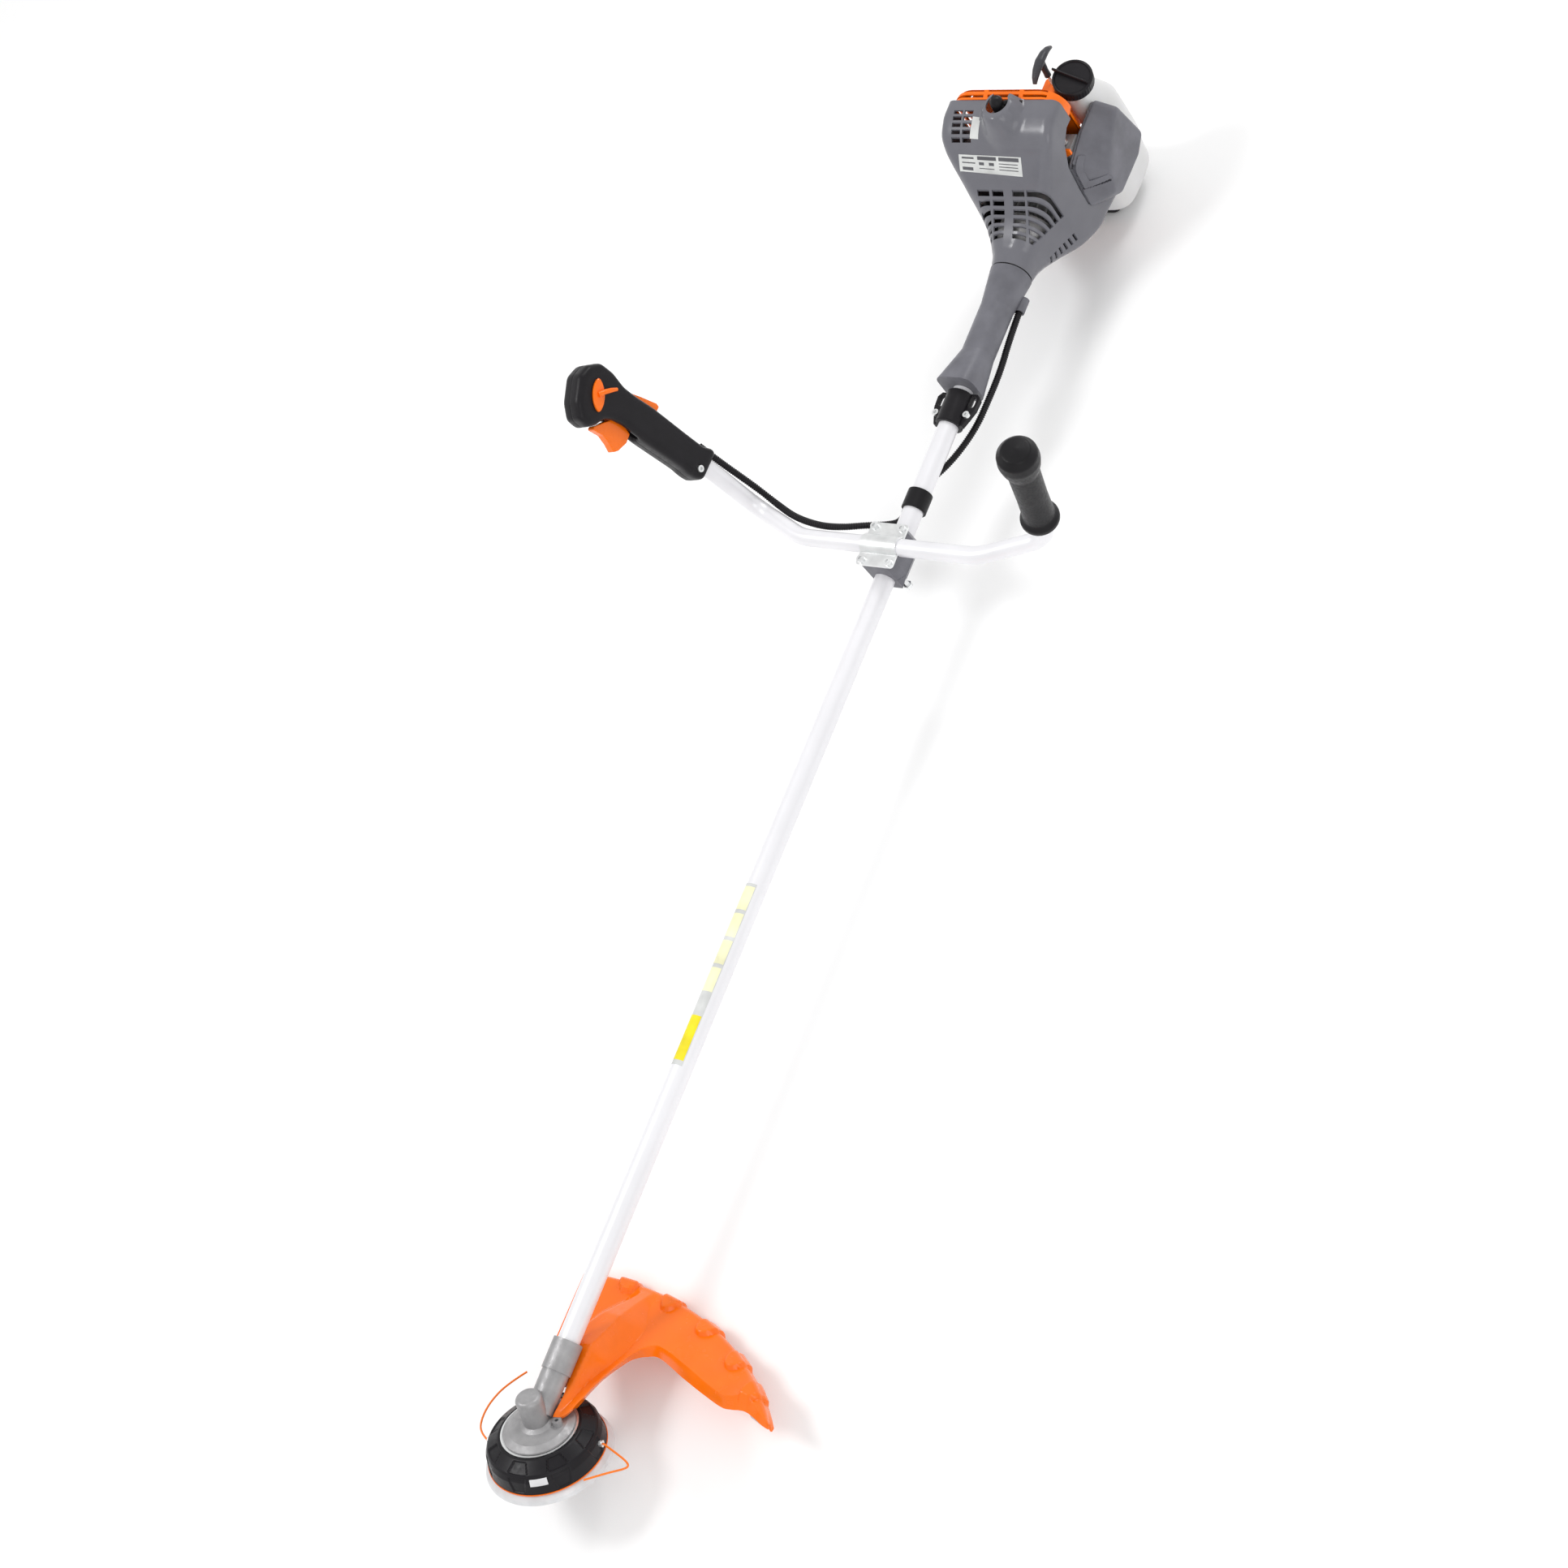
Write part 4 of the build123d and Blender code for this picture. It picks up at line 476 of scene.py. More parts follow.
# ------------------------------------------------------------------ CAD nodes that stay
BEVELS = (("starter_housing", 1.0), ("bar_clamp_block", 0.8), ("bar_clamp_lower", 0.8))
BEVEL_ANGLE = 30
CAD_SHARP = 32


def bevel(node, width):
    modifier = NODES[node].modifiers.new("bevel", "BEVEL")
    modifier.width = width * MM
    modifier.segments = 2
    modifier.limit_method = "ANGLE"
    modifier.angle_limit = math.radians(BEVEL_ANGLE)
    modifier.harden_normals = False


for node in NODES.values():
    soften(node.data, CAD_SHARP)
for name, width in BEVELS:
    bevel(name, width)

# ------------------------------------------------------------------ engine shroud
# Sections: station, low x, high x, low z, high z, corner radius.
SHROUD_SECTIONS = [
    (1523, -27, 27, -27, 27, 26.5), (1545, -33, 32, -31, 33, 28), (1575, -47, 45, -42, 50, 28),
    (1600, -66, 59, -46, 77, 15), (1630, -87, 71, -46, 123, 9), (1655, -90, 73, -46, 141, 9),
    (1680, -88, 76, -46, 147, 10),
]
SHROUD_RING = 144
CORNER_STEPS = 12
SHROUD_FRONT = 1523
SHROUD_LENGTH = 157
SHROUD_RINGS = 79
SHROUD_WALL = 2.4
HUMP_AT = (0.0, 1664.0)
HUMP_TOP = 161.0
HUMP_CORE_R = 17.5
HUMP_FOOT_R = 34
HUMP_FRONT_SCALE = 0.8
SLOT_STATIONS = (1555, 1563.1, 1571.2, 1579.3, 1587.4, 1595.5)
SLOT_COLUMNS = ((-46, -28), (-24, -7), (6, 24), (27, 66))
SLOT_HALF = 2.6
LOW_SLOT_STATIONS = range(1560, 1602, 7)
LOW_SLOT_HALF = 1.5
GRILLE_STATIONS = (1634, 1641.5, 1649, 1656.5, 1664)
GRILLE_COLUMNS = ((-72, -59), (-56, -43))
GRILLE_HALF = 2.4
# The opening in the left side, where the air filter sits: (station, z).
BAY_OUTLINE = [
    (1631, 2), (1632, 30), (1636, 70), (1650, 95), (1668, 108), (1700, 112), (1700, -14),
    (1650, -13),
]
BAY_INNER_X = 54
BAY_DEPTH = 50
# Room for the boot in the hump: a round hole from a height upwards, and a notch behind it.
BOOT_HOLE = [(0, 0), (15.2, 0), (15.2, 60), (0, 60)]
BOOT_HOLE_FOOT = 120
BOOT_NOTCH = ((-12, 1664, 146), (12, 1700, 190))


def section_at(sections, station):
    stations = [section[0] for section in sections]
    i = max(k for k in range(len(sections) - 1) if stations[k] <= station)
    t = i + (station - stations[i]) / (stations[i + 1] - stations[i])
    return [catmull([section[k] for section in sections], t) for k in range(1, 6)]


def rounded_box(low_x, high_x, low_z, high_z, radius, count):
    """count points round a rounded box, evenly along its outline, starting at the bottom."""
    radius = min(radius, (high_x - low_x) / 2 - 0.1, (high_z - low_z) / 2 - 0.1)
    centres = [
        (high_x - radius, low_z + radius, -90), (high_x - radius, high_z - radius, 0),
        (low_x + radius, high_z - radius, 90), (low_x + radius, low_z + radius, 180),
    ]
    outline = []
    for x, z, start in centres:
        for step in range(CORNER_STEPS + 1):
            angle = math.radians(start + 90 * step / CORNER_STEPS)
            outline.append(Vector((x + radius * math.cos(angle), z + radius * math.sin(angle))))
    outline.append(outline[0])
    lengths = [0]
    for a, b in zip(outline, outline[1:]):
        lengths.append(lengths[-1] + (b - a).length)
    points, k = [], 0
    for step in range(count):
        target = lengths[-1] * step / count
        while lengths[k + 1] < target:
            k += 1
        part = (target - lengths[k]) / (lengths[k + 1] - lengths[k])
        points.append(outline[k].lerp(outline[k + 1], part))
    return points


def hump_lift(x, station, z):
    """Height added for the hump round the spark plug, which only the top side gets."""
    forward = station - HUMP_AT[1]
    away = math.hypot(x - HUMP_AT[0], forward * (HUMP_FRONT_SCALE if forward < 0 else 1.0))
    near = (1 - smoothstep(HUMP_CORE_R, HUMP_FOOT_R, away)) ** 1.4
    return near * (HUMP_TOP - z) if z > 60 else 0


def shroud_point(x, station, z):
    return at(x, station, z + hump_lift(x, station, z))


def shroud_slots():
    """Boxes through the shroud: cooling slots in front, low slots on the left and the grille."""
    slots = []
    for station in SLOT_STATIONS:
        for low, high in SLOT_COLUMNS:
            slots.append(block((low, station - SLOT_HALF, 22), (high, station + SLOT_HALF, 100)))
    for station in LOW_SLOT_STATIONS:
        slots.append(block((18, station - LOW_SLOT_HALF, -25), (90, station + LOW_SLOT_HALF, -12)))
    for station in GRILLE_STATIONS:
        for low, high in GRILLE_COLUMNS:
            slots.append(block((low, station - GRILLE_HALF, 110), (high, station + GRILLE_HALF, 170)))
    return slots


def make_shroud():
    last = SHROUD_RINGS - 1
    stations = [SHROUD_FRONT + SHROUD_LENGTH * i / last for i in range(SHROUD_RINGS)]
    points = []
    for station in stations:
        for x, z in rounded_box(*section_at(SHROUD_SECTIONS, station), SHROUD_RING):
            points.append(shroud_point(x, station, z))
    shell = bpy.data.meshes.new("shell")
    shell.from_pydata(points, [], grid_faces(len(stations), SHROUD_RING))
    bay = prism([at(BAY_INNER_X, y, z) for y, z in BAY_OUTLINE], Vector((BAY_DEPTH * MM, 0, 0)))
    upright, right = Vector((0, 0, 1)), Vector((1, 0, 0))
    boot_hole = lathe(BOOT_HOLE, at(*HUMP_AT, BOOT_HOLE_FOOT), upright, right, 40)
    notch = block(*BOOT_NOTCH)
    cutters = [merged(shroud_slots()), merged([bay]), merged([boot_hole]), merged([notch])]
    mesh = cut_away(shell, cutters, SHROUD_WALL * MM)
    return finish_piece("shroud_shell", mesh, "grey_plastic", replaces=("shroud",))


make_shroud()

# ------------------------------------------------------------------ blank labels on the shroud
# Corners as (x, station): upper left, upper right, lower right, lower left.
RATING_LABEL = [(-63.6, 1622.6), (28.1, 1620.7), (25.5, 1607.7), (-66.4, 1611.2)]
SMALL_TAG = [(-41.8, 1658.3), (-30, 1657.1), (-31.6, 1634.5), (-44, 1635)]
# Plain bars on the rating label: (u0, v0, u1, v1) as fractions of its width and height.
RATING_PRINT = [
    (0.30, 0.07, 0.60, 0.27), (0.64, 0.07, 0.96, 0.27), (0.05, 0.14, 0.24, 0.24),
    (0.05, 0.44, 0.26, 0.50), (0.05, 0.72, 0.22, 0.90), (0.32, 0.40, 0.40, 0.56),
    (0.48, 0.40, 0.56, 0.56), (0.32, 0.72, 0.56, 0.76), (0.64, 0.40, 0.94, 0.44),
    (0.64, 0.56, 0.94, 0.60), (0.64, 0.72, 0.94, 0.76),
]
WHOLE_LABEL = [(0, 0, 1, 1)]
LABEL_ROWS = 6
LABEL_COLUMNS = 40
LABEL_LIFT = Vector((0, -0.4, 0.9))
PAPER_LIFT = 0.35
PRINT_LIFT = 0.6


def shroud_top(x, station):
    """The upper surface of the shroud above that place."""
    low_x, high_x, _, high_z, radius = section_at(SHROUD_SECTIONS, station)
    over = max(0.0, x - (high_x - radius), (low_x + radius) - x)
    z = high_z - radius + math.sqrt(max(0.0, radius * radius - over * over))
    return shroud_point(x, station, z)


def across_label(corners, u, v):
    """A place (x, station) on a label, from its four corners: u across it, v down it."""
    top = Vector(corners[0]).lerp(Vector(corners[1]), u)
    bottom = Vector(corners[3]).lerp(Vector(corners[2]), u)
    return top.lerp(bottom, v)


def sticker(name, corners, patches, material, lift):
    """A thin print on the shroud: patches are (u0, v0, u1, v1) of the label."""
    parts = []
    for u0, v0, u1, v1 in patches:
        across = max(2, round(LABEL_COLUMNS * (u1 - u0)))
        points = []
        for row in range(LABEL_ROWS + 1):
            for column in range(across + 1):
                u, v = lerp(u0, u1, column / across), lerp(v0, v1, row / LABEL_ROWS)
                spot = across_label(corners, u, v)
                points.append(shroud_top(spot.x, spot.y) + LABEL_LIFT * lift * MM)
        parts.append((points, grid_faces(LABEL_ROWS + 1, across + 1, closed=False)))
    finish_piece(name, sheet_of(parts, 0.15), "white_plastic", material=material)


sticker("rating_label", RATING_LABEL, WHOLE_LABEL, LABEL_PAPER, PAPER_LIFT)
sticker("rating_print", RATING_LABEL, RATING_PRINT, LABEL_INK, PRINT_LIFT)
sticker("grille_tag", SMALL_TAG, WHOLE_LABEL, LABEL_PAPER, PAPER_LIFT)

# ------------------------------------------------------------------ blank decal on the shaft
TUBE_R = 13.0
DECAL_ENDS = (424, 656)
DECAL_BASE_ANGLES = (-62, 34)
DECAL_ANGLES = (-60, 30)
YELLOW_ENDS = (430, 486)
BLANK_COUNT = 4
BLANK_FROM = 517
BLANK_LENGTH = 30
BLANK_PITCH = 35
DECAL_ROWS = 24


def decal_band(name, ends, angles, material, lift):
    """A patch round the tube between two stations; angles go from straight up to the left hand."""
    points = []
    radius = TUBE_R + lift
    for station in ends:
        for row in range(DECAL_ROWS + 1):
            angle = math.radians(lerp(*angles, row / DECAL_ROWS))
            points.append(at(radius * math.sin(angle), station, radius * math.cos(angle)))
    part = points, grid_faces(2, DECAL_ROWS + 1, closed=False)
    finish_piece(name, sheet_of([part], 0.1), "white_plastic", material=material)


decal_band("decal_base", DECAL_ENDS, DECAL_BASE_ANGLES, LABEL_PAPER, 0.08)
decal_band("decal_yellow", YELLOW_ENDS, DECAL_ANGLES, LABEL_YELLOW, 0.18)
for index in range(BLANK_COUNT):
    start = BLANK_FROM + BLANK_PITCH * index
    blank = (start, start + BLANK_LENGTH)
    decal_band("decal_blank_%d" % index, blank, DECAL_ANGLES, LABEL_PALE, 0.18)

# ------------------------------------------------------------------ guard
# Outlines on the deck plane: the upper edge of the inner side, and the foot of its lip.
GUARD_INNER = [
    (-24, 14), (24, 12), (31, 40), (32, 62), (35, 85), (39, 106), (45, 124), (57, 138),
    (73, 142), (118, 129), (155, 116.5), (184, 108), (196, 110), (209, 116), (224, 113.5),
    (240, 104), (254, 97),
]
GUARD_LIP = [
    (-22, 16), (19, 15), (25, 36), (25, 61), (27, 86), (33, 108), (40, 124), (54, 133.5),
    (72, 137), (119, 121), (155, 110), (184, 102.5), (197, 103.5), (212, 107), (228, 103),
    (244, 97), (254, 95),
]
GUARD_CORNERS = (Vector((-98, 213)), Vector((82, 203)), Vector((254, 97)))
GUARD_COLUMNS = 260
GUARD_ROWS = 56
EDGE_STEPS = 7
SKIRT_STEPS = 5
FINE_STEPS = 800
GUARD_RIBS = (0.17, 0.35, 0.54, 0.72, 0.87)
# The channel's height at distances behind the spindle: (distance, height).
GUARD_RIDGE = [(14, 2), (50, 10), (92, 31), (150, 21), (196, 5), (212, 0)]
GUARD_RIB_HEIGHT = 6.2
GUARD_EDGE_R = 7.0
GUARD_WALL = 2.4
LIP_BOTTOM = -9.0
SKIRT_BOTTOM = -14.7
# Room for the gear case's neck and the tube, along the shaft, and for the head, along the
# spindle: (radius, distance).
NECK_ROOM = [(0, -30), (17.9, -30), (17.9, 92.5), (13.6, 92.5), (13.6, 270), (0, 270)]
HEAD_ROOM = [(0, -40), (45, -40), (45, -4.2), (18.5, -4.2), (18.5, 60), (0, 60)]


def arc_centre(a, b, c):
    ab, ac = b - a, c - a
    d = 2 * (ab.x * ac.y - ab.y * ac.x)
    x = (ac.y * ab.length_squared - ab.y * ac.length_squared) / d
    y = (ab.x * ac.length_squared - ac.x * ab.length_squared) / d
    return a + Vector((x, y))


GUARD_CENTRE = arc_centre(*GUARD_CORNERS)


def guard_outer(s):
    """A point of the outer edge, an arc through left corner, back and tip."""
    a, c = GUARD_CORNERS[0] - GUARD_CENTRE, GUARD_CORNERS[2] - GUARD_CENTRE
    angle = lerp(math.atan2(a.y, a.x), math.atan2(c.y, c.x), s)
    return GUARD_CENTRE + Vector((math.cos(angle), math.sin(angle))) * a.length


def along(points, t):
    """The point at fraction t of the smooth line through the points."""
    place = t * (len(points) - 1)
    return Vector((catmull([p[0] for p in points], place), catmull([p[1] for p in points], place)))


def even(points):
    """Fractions that step evenly along the smooth line through the points."""
    fine = [along(points, i / FINE_STEPS) for i in range(FINE_STEPS + 1)]
    gone = [0.0]
    for a, b in zip(fine, fine[1:]):
        gone.append(gone[-1] + (b - a).length)
    fractions, k = [], 0
    for column in range(GUARD_COLUMNS):
        target = gone[-1] * column / (GUARD_COLUMNS - 1)
        while k < FINE_STEPS - 1 and gone[k + 1] < target:
            k += 1
        fractions.append((k + (target - gone[k]) / (gone[k + 1] - gone[k])) / FINE_STEPS)
    return fractions


def wedge_height(u, v):
    """The raised channel behind the gear case: a flat top with steep flanks."""
    height = 0
    for (v0, h0), (v1, h1) in zip(GUARD_RIDGE, GUARD_RIDGE[1:]):
        if v0 <= v < v1:
            height = lerp(h0, h1, (v - v0) / (v1 - v0))
    half = lerp(17, 6, smoothstep(90, 205, v))
    foot = lerp(22, 36, smoothstep(60, 130, v)) - 22 * smoothstep(150, 205, v)
    return height * (1 - min(1, max(0, (abs(u) - half) / (foot - half))))


def rib_height(s, inward):
    """Shell-like ribs across the outer edge; inward is the distance from that edge."""
    height = 0
    for place in GUARD_RIBS:
        across = (s - place) / 0.036
        reach = (inward - 2) / 20
        round_part = 1 - across * across - max(0, reach) ** 2
        height = max(height, GUARD_RIB_HEIGHT * smoothstep(0, 0.35, round_part))
    return height


def guard_height(s, spot, inward):
    """Height of the upper side above the deck."""
    crown = 3.5 * smoothstep(30, 90, spot.x) * smoothstep(0, 40, inward)
    crown *= 1 - smoothstep(195, 235, spot.x)
    tip = -5 * smoothstep(222, 254, spot.x) + 2 * math.exp(-((spot.x - 208) / 10) ** 2)
    raised = max(wedge_height(spot.x, spot.y), rib_height(s, inward))
    return 1.0 + crown + raised + tip


def guard_row(s, inner, lip, outer):
    """One section across the guard, from the foot of the lip to the foot of the skirt."""
    rim_height = guard_height(s, inner, (outer - inner).length)
    section = [(lip, LIP_BOTTOM), (lip.lerp(inner, 0.45), lerp(LIP_BOTTOM, rim_height, 0.5))]
    section.append((lip.lerp(inner, 0.86), rim_height - 1.2))
    span = outer - inner
    reach = max(1.0, span.length)
    outwards = span / reach
    edge = max(0.0, reach - GUARD_EDGE_R)
    for row in range(GUARD_ROWS):
        far = edge * row / (GUARD_ROWS - 1)
        spot = inner + outwards * far
        section.append((spot, guard_height(s, spot, reach - far)))
    top = section[-1][1]
    for step in range(1, EDGE_STEPS + 1):
        angle = math.pi / 2 * step / EDGE_STEPS
        spot = inner + outwards * (edge + min(GUARD_EDGE_R, reach) * math.sin(angle))
        section.append((spot, top - GUARD_EDGE_R * (1 - math.cos(angle))))
    rib = rib_height(s, 0) * 0.6
    foot = top - GUARD_EDGE_R
    for step in range(1, SKIRT_STEPS + 1):
        part = step / SKIRT_STEPS
        bulge = rib * math.sin(math.pi * step / SKIRT_STEPS) + 0.6 * step
        section.append((outer + outwards * bulge, lerp(foot, SKIRT_BOTTOM, part)))
    return section


def make_guard():
    points = []
    for column, (at_inner, at_lip) in enumerate(zip(even(GUARD_INNER), even(GUARD_LIP))):
        s = column / (GUARD_COLUMNS - 1)
        inner, lip = along(GUARD_INNER, at_inner), along(GUARD_LIP, at_lip)
        for spot, height in guard_row(s, inner, lip, guard_outer(s)):
            points.append(deck(spot.x, spot.y, height))
    across = len(points) // GUARD_COLUMNS
    skin = points, grid_faces(GUARD_COLUMNS, across, closed=False)
    mesh = sheet_of([skin], GUARD_WALL)
    right, ahead = Vector((1, 0, 0)), Vector((0, 1, 0))
    neck_room = lathe(NECK_ROOM, at(0, 0, 0), ahead, right, 64)
    head_room = lathe(HEAD_ROOM, deck(0, 0, 0), SPINDLE_UP, right, 72)
    mesh = cut_away(mesh, [merged([neck_room]), merged([head_room])])
    return finish_piece("guard_shell", mesh, "orange_plastic", replaces=("guard",), sharp=38)


make_guard()

# ------------------------------------------------------------------ cutting head
HEAD_AROUND = 480
EXIT_H = -36.0
PAD_COUNT = 8
WINDOW_ANGLE = -55.5
SHOULDER_BOTTOM = -24
HEAD_STEP = 0.6
PAD_DEPTH = 1.5
PAD_LINE_DEPTH = 0.7
PANEL_DEPTH = 1.3
# Outer and inner profile of the housing: (radius, height).
HEAD_OUTSIDE = [
    (43.6, -17), (44, -14.3), (48, -14), (49.3, -14.6), (62.6, -22.6), (64.2, -24.4), (67, -31),
    (68.5, -46),
]
HEAD_INSIDE = [
    (66, -46), (64.2, -31), (60.6, -26.2), (47, -19.5), (12, -19.5), (12, -39.8), (5.2, -39.8),
    (5.2, -17), (43.6, -17),
]
EYELET_HOLE = [(0, 50), (4.0, 50), (4.0, 80), (0, 80)]
EYELET_ANGLES = (20, 200)
RIM_PROFILE = [(43.1, -13.7), (45.2, -13.7), (45.2, -12.7), (43.1, -12.7), (43.1, -13.7)]
WINDOW_HALF = 8.6
# Height and radius of the window's four rows of points.
WINDOW_SECTION = ((-26.6, 64.95), (-27.2, 65.75), (-33.6, 67.85), (-34.2, 67.0))
WINDOW_STEPS = 12


def pad_edge(angle, half, soft):
    """1 inside the repeated pads, 0 between them, angles in degrees."""
    pitch = 360 / PAD_COUNT
    away = abs((angle - WINDOW_ANGLE + pitch / 2) % pitch - pitch / 2)
    return 1 - smoothstep(half, half + soft, away)


def head_relief(radius, height, angle):
    """Pads on the sloping shoulder and panels on the skirt, pressed into the housing."""
    turn = math.degrees(angle)
    on_shoulder = height > SHOULDER_BOTTOM
    sunk = 0.0
    if 49 < radius < 64 and on_shoulder:
        slope = smoothstep(49.5, 50.5, radius) * (1 - smoothstep(61.5, 62.5, radius))
        half = lerp(14.5, 11, (radius - 49) / 14)
        sunk = PAD_DEPTH * slope * (1 - pad_edge(turn, half, 1.2))
        if abs(pad_edge(turn, half - 1.2, 0.6) - 0.5) < 0.5:
            sunk += PAD_LINE_DEPTH * slope
    if height < SHOULDER_BOTTOM and radius > 60:
        panel = smoothstep(-44.5, -43.5, height) * (1 - smoothstep(-27, -26, height))
        half = lerp(16, 12, (height + 44) / 18)
        sunk = PANEL_DEPTH * panel * (1 - pad_edge(turn, half, 1.5))
    inwards, down = (0.55, 0.8) if on_shoulder else (1.0, 0)
    return radius - sunk * inwards, height - sunk * down


def refine(profile, step):
    """The profile with points added so that no run is longer than step."""
    fine = []
    for (r0, h0), (r1, h1) in zip(profile, profile[1:]):
        count = max(1, math.ceil(math.hypot(r1 - r0, h1 - h0) / step))
        fine += [(lerp(r0, r1, i / count), lerp(h0, h1, i / count)) for i in range(count)]
    return fine + [profile[-1]]


def make_head():
    profile = refine(HEAD_OUTSIDE, HEAD_STEP) + HEAD_INSIDE
    right = Vector((1, 0, 0))
    points, faces = lathe(profile, deck(0, 0, 0), SPINDLE_UP, right, HEAD_AROUND, head_relief)
    mesh = merged([(points, faces)])
    holes = []
    for turn in EYELET_ANGLES:
        out = right * math.cos(math.radians(turn)) + DECK_Y * math.sin(math.radians(turn))
        holes.append(lathe(EYELET_HOLE, deck(0, 0, EXIT_H), out, SPINDLE_UP, 24))
    mesh = cut_away(mesh, [merged(holes)])
    finish_piece("head_shell", mesh, "black_plastic", "cutting_head", ("head_housing",), 34)


def make_window():
    """The pale window in the head's skirt, its upper and lower edges turned inwards."""
    points = []
    for height, radius in WINDOW_SECTION:
        for i in range(WINDOW_STEPS + 1):
            side = lerp(-WINDOW_HALF, WINDOW_HALF, i / WINDOW_STEPS)
            angle = math.radians(WINDOW_ANGLE + side)
            points.append(deck(radius * math.cos(angle), radius * math.sin(angle), height))
    part = points, grid_faces(len(WINDOW_SECTION), WINDOW_STEPS + 1, closed=False)
    finish_piece("head_window", sheet_of([part], 1.2), "white_plastic", "cutting_head")


make_head()
make_window()
rim = lathe(RIM_PROFILE, deck(0, 0, 0), SPINDLE_UP, Vector((1, 0, 0)))
make_piece("flange_rim", *rim, "zinc_steel", "cutting_head")

# ------------------------------------------------------------------ shapes along a line
def nurbs_curve(name, points, radius=0.0):
    """A curve of one open NURBS spline with those control points, in metres."""
    data = bpy.data.curves.new(name, "CURVE")
    data.dimensions = "3D"
    data.resolution_u = 16
    data.bevel_depth = radius
    data.bevel_resolution = 4
    data.use_fill_caps = True
    spline = data.splines.new("NURBS")
    spline.points.add(len(points) - 1)
    for control, point in zip(spline.points, points):
        control.co = (*point, 1)
    spline.order_u = 3
    spline.use_endpoint_u = True
    return data


def line_of(data):
    """The points that a curve with no bevel follows."""
    thing = bpy.data.objects.new("line", data)
    bpy.context.scene.collection.objects.link(thing)
    mesh = bpy.data.meshes.new_from_object(thing)
    points = [vertex.co.copy() for vertex in mesh.vertices]
    bpy.data.objects.remove(thing)
    return points


def spaced(points, step):
    """Points along a line at that spacing, its two ends among them."""
    total = sum((b - a).length for a, b in zip(points, points[1:]))
    count = max(2, round(total / step))
    picked, k, gone = [points[0]], 0, 0.0
    for i in range(1, count):
        target = total * i / count
        while gone + (points[k + 1] - points[k]).length < target:
            gone += (points[k + 1] - points[k]).length
            k += 1
        part = (target - gone) / (points[k + 1] - points[k]).length
        picked.append(points[k].lerp(points[k + 1], part))
    return picked + [points[-1]]


def tube(path, radii, around=14, squash=1.0, side=None):
    """Points and faces of a closed tube along a path, with one radius for each point."""
    points = []
    side = side or path[0].orthogonal()
    for i, spot in enumerate(path):
        ahead = path[min(i + 1, len(path) - 1)] - path[max(i - 1, 0)]
        ahead.normalize()
        side = (side - ahead * side.dot(ahead)).normalized()
        other = ahead.cross(side)
        for step in range(around):
            angle = 2 * math.pi * step / around
            spoke = side * math.cos(angle) + other * math.sin(angle) * squash
            points.append(spot + spoke * radii[i])
    faces = grid_faces(len(path), around)
    faces.append(tuple(reversed(range(around))))
    faces.append(tuple(range(len(points) - around, len(points))))
    return points, faces


# ------------------------------------------------------------------ frame of the throttle grip
GRIP_UP = Vector((-49, 0, 184)).normalized()
GRIP_OUTWARD = Vector((-GRIP_UP.z, 0, GRIP_UP.x))
GRIP_ORIGIN = at(-206, 1140, 28) + GRIP_UP * 90 * MM


def grip(forward, height, outward):
    """A point in the throttle grip: forward, up along the grip, outward to the right."""
    return GRIP_ORIGIN + (GRIP_UP * height + GRIP_OUTWARD * outward - Vector((0, forward, 0))) * MM


# ------------------------------------------------------------------ cords
CONDUIT_ROUTE = [
    at(20.5, 1480, -17.5), at(21.5, 1440, -19), at(25.5, 1395, -21.5), at(26, 1350, -21),
    at(23, 1308, -23), at(9, 1262, -23), at(-8, 1228, -19), at(-15.5, 1212, -9.2),
    at(-15.5, 1162, -9.2), at(-23, 1146, 8), at(-42, 1134, 24), at(-66, 1124, 32),
    at(-100, 1122.5, 32), at(-143, 1131, 31), at(-177, 1146, 31), at(-198, 1155, 41),
    at(-208, 1156.5, 62), grip(-16, 0, -1.5), grip(-16, 30, -1.5),
]
FOLDED_TAIL = [(66.2, 24.1), (91, 18), (110, 12.5), (115.5, 7.5), (111, 1.5), (97, -10), (79, -28)]
LONG_TAIL = [(-66.2, -24.1), (-84, -18), (-97, 1), (-104, 26), (-103, 54), (-93, 79)]
PULL = Vector((-0.1, 0.2, 0.97)).normalized()
HANDLE_X = 20
HANDLE_AT = at(HANDLE_X, 1745, 131)
ROPE_ROUTE = [HANDLE_AT + PULL * height * MM for height in (-80, -43, -6)]
CONDUIT_D = 9.0
LINE_D = 2.4
ROPE_D = 3.6
RIDGE_PITCH = 3.0
# Depth of the conduit's groove at each step of one pitch.
RIDGE_DEPTHS = (0.0, 0.0, 0.55, 0.75, 0.75, 0.55)


def make_conduit():
    steps = len(RIDGE_DEPTHS)
    route = line_of(nurbs_curve("conduit_route", CONDUIT_ROUTE))
    path = spaced(route, RIDGE_PITCH / steps * MM)
    radii = [(CONDUIT_D / 2 - RIDGE_DEPTHS[i % steps]) * MM for i in range(len(path))]
    points, faces = tube(path, radii, 18)
    piece = make_piece(
        "conduit_ribbed", points, faces, "black_plastic", replaces=("control_conduit",), sharp=50,
    )


def make_line(name, route, slot, body, node, diameter, **facts):
    data = nurbs_curve(name, route, diameter / 2 * MM)
    data.materials.append(SLOTS[slot])
    path = line_of(nurbs_curve(name + "_route", route))
    piece = bpy.data.objects.new(name, data)
    bpy.context.scene.collection.objects.link(piece)
    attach(piece, body)
    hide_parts(node)


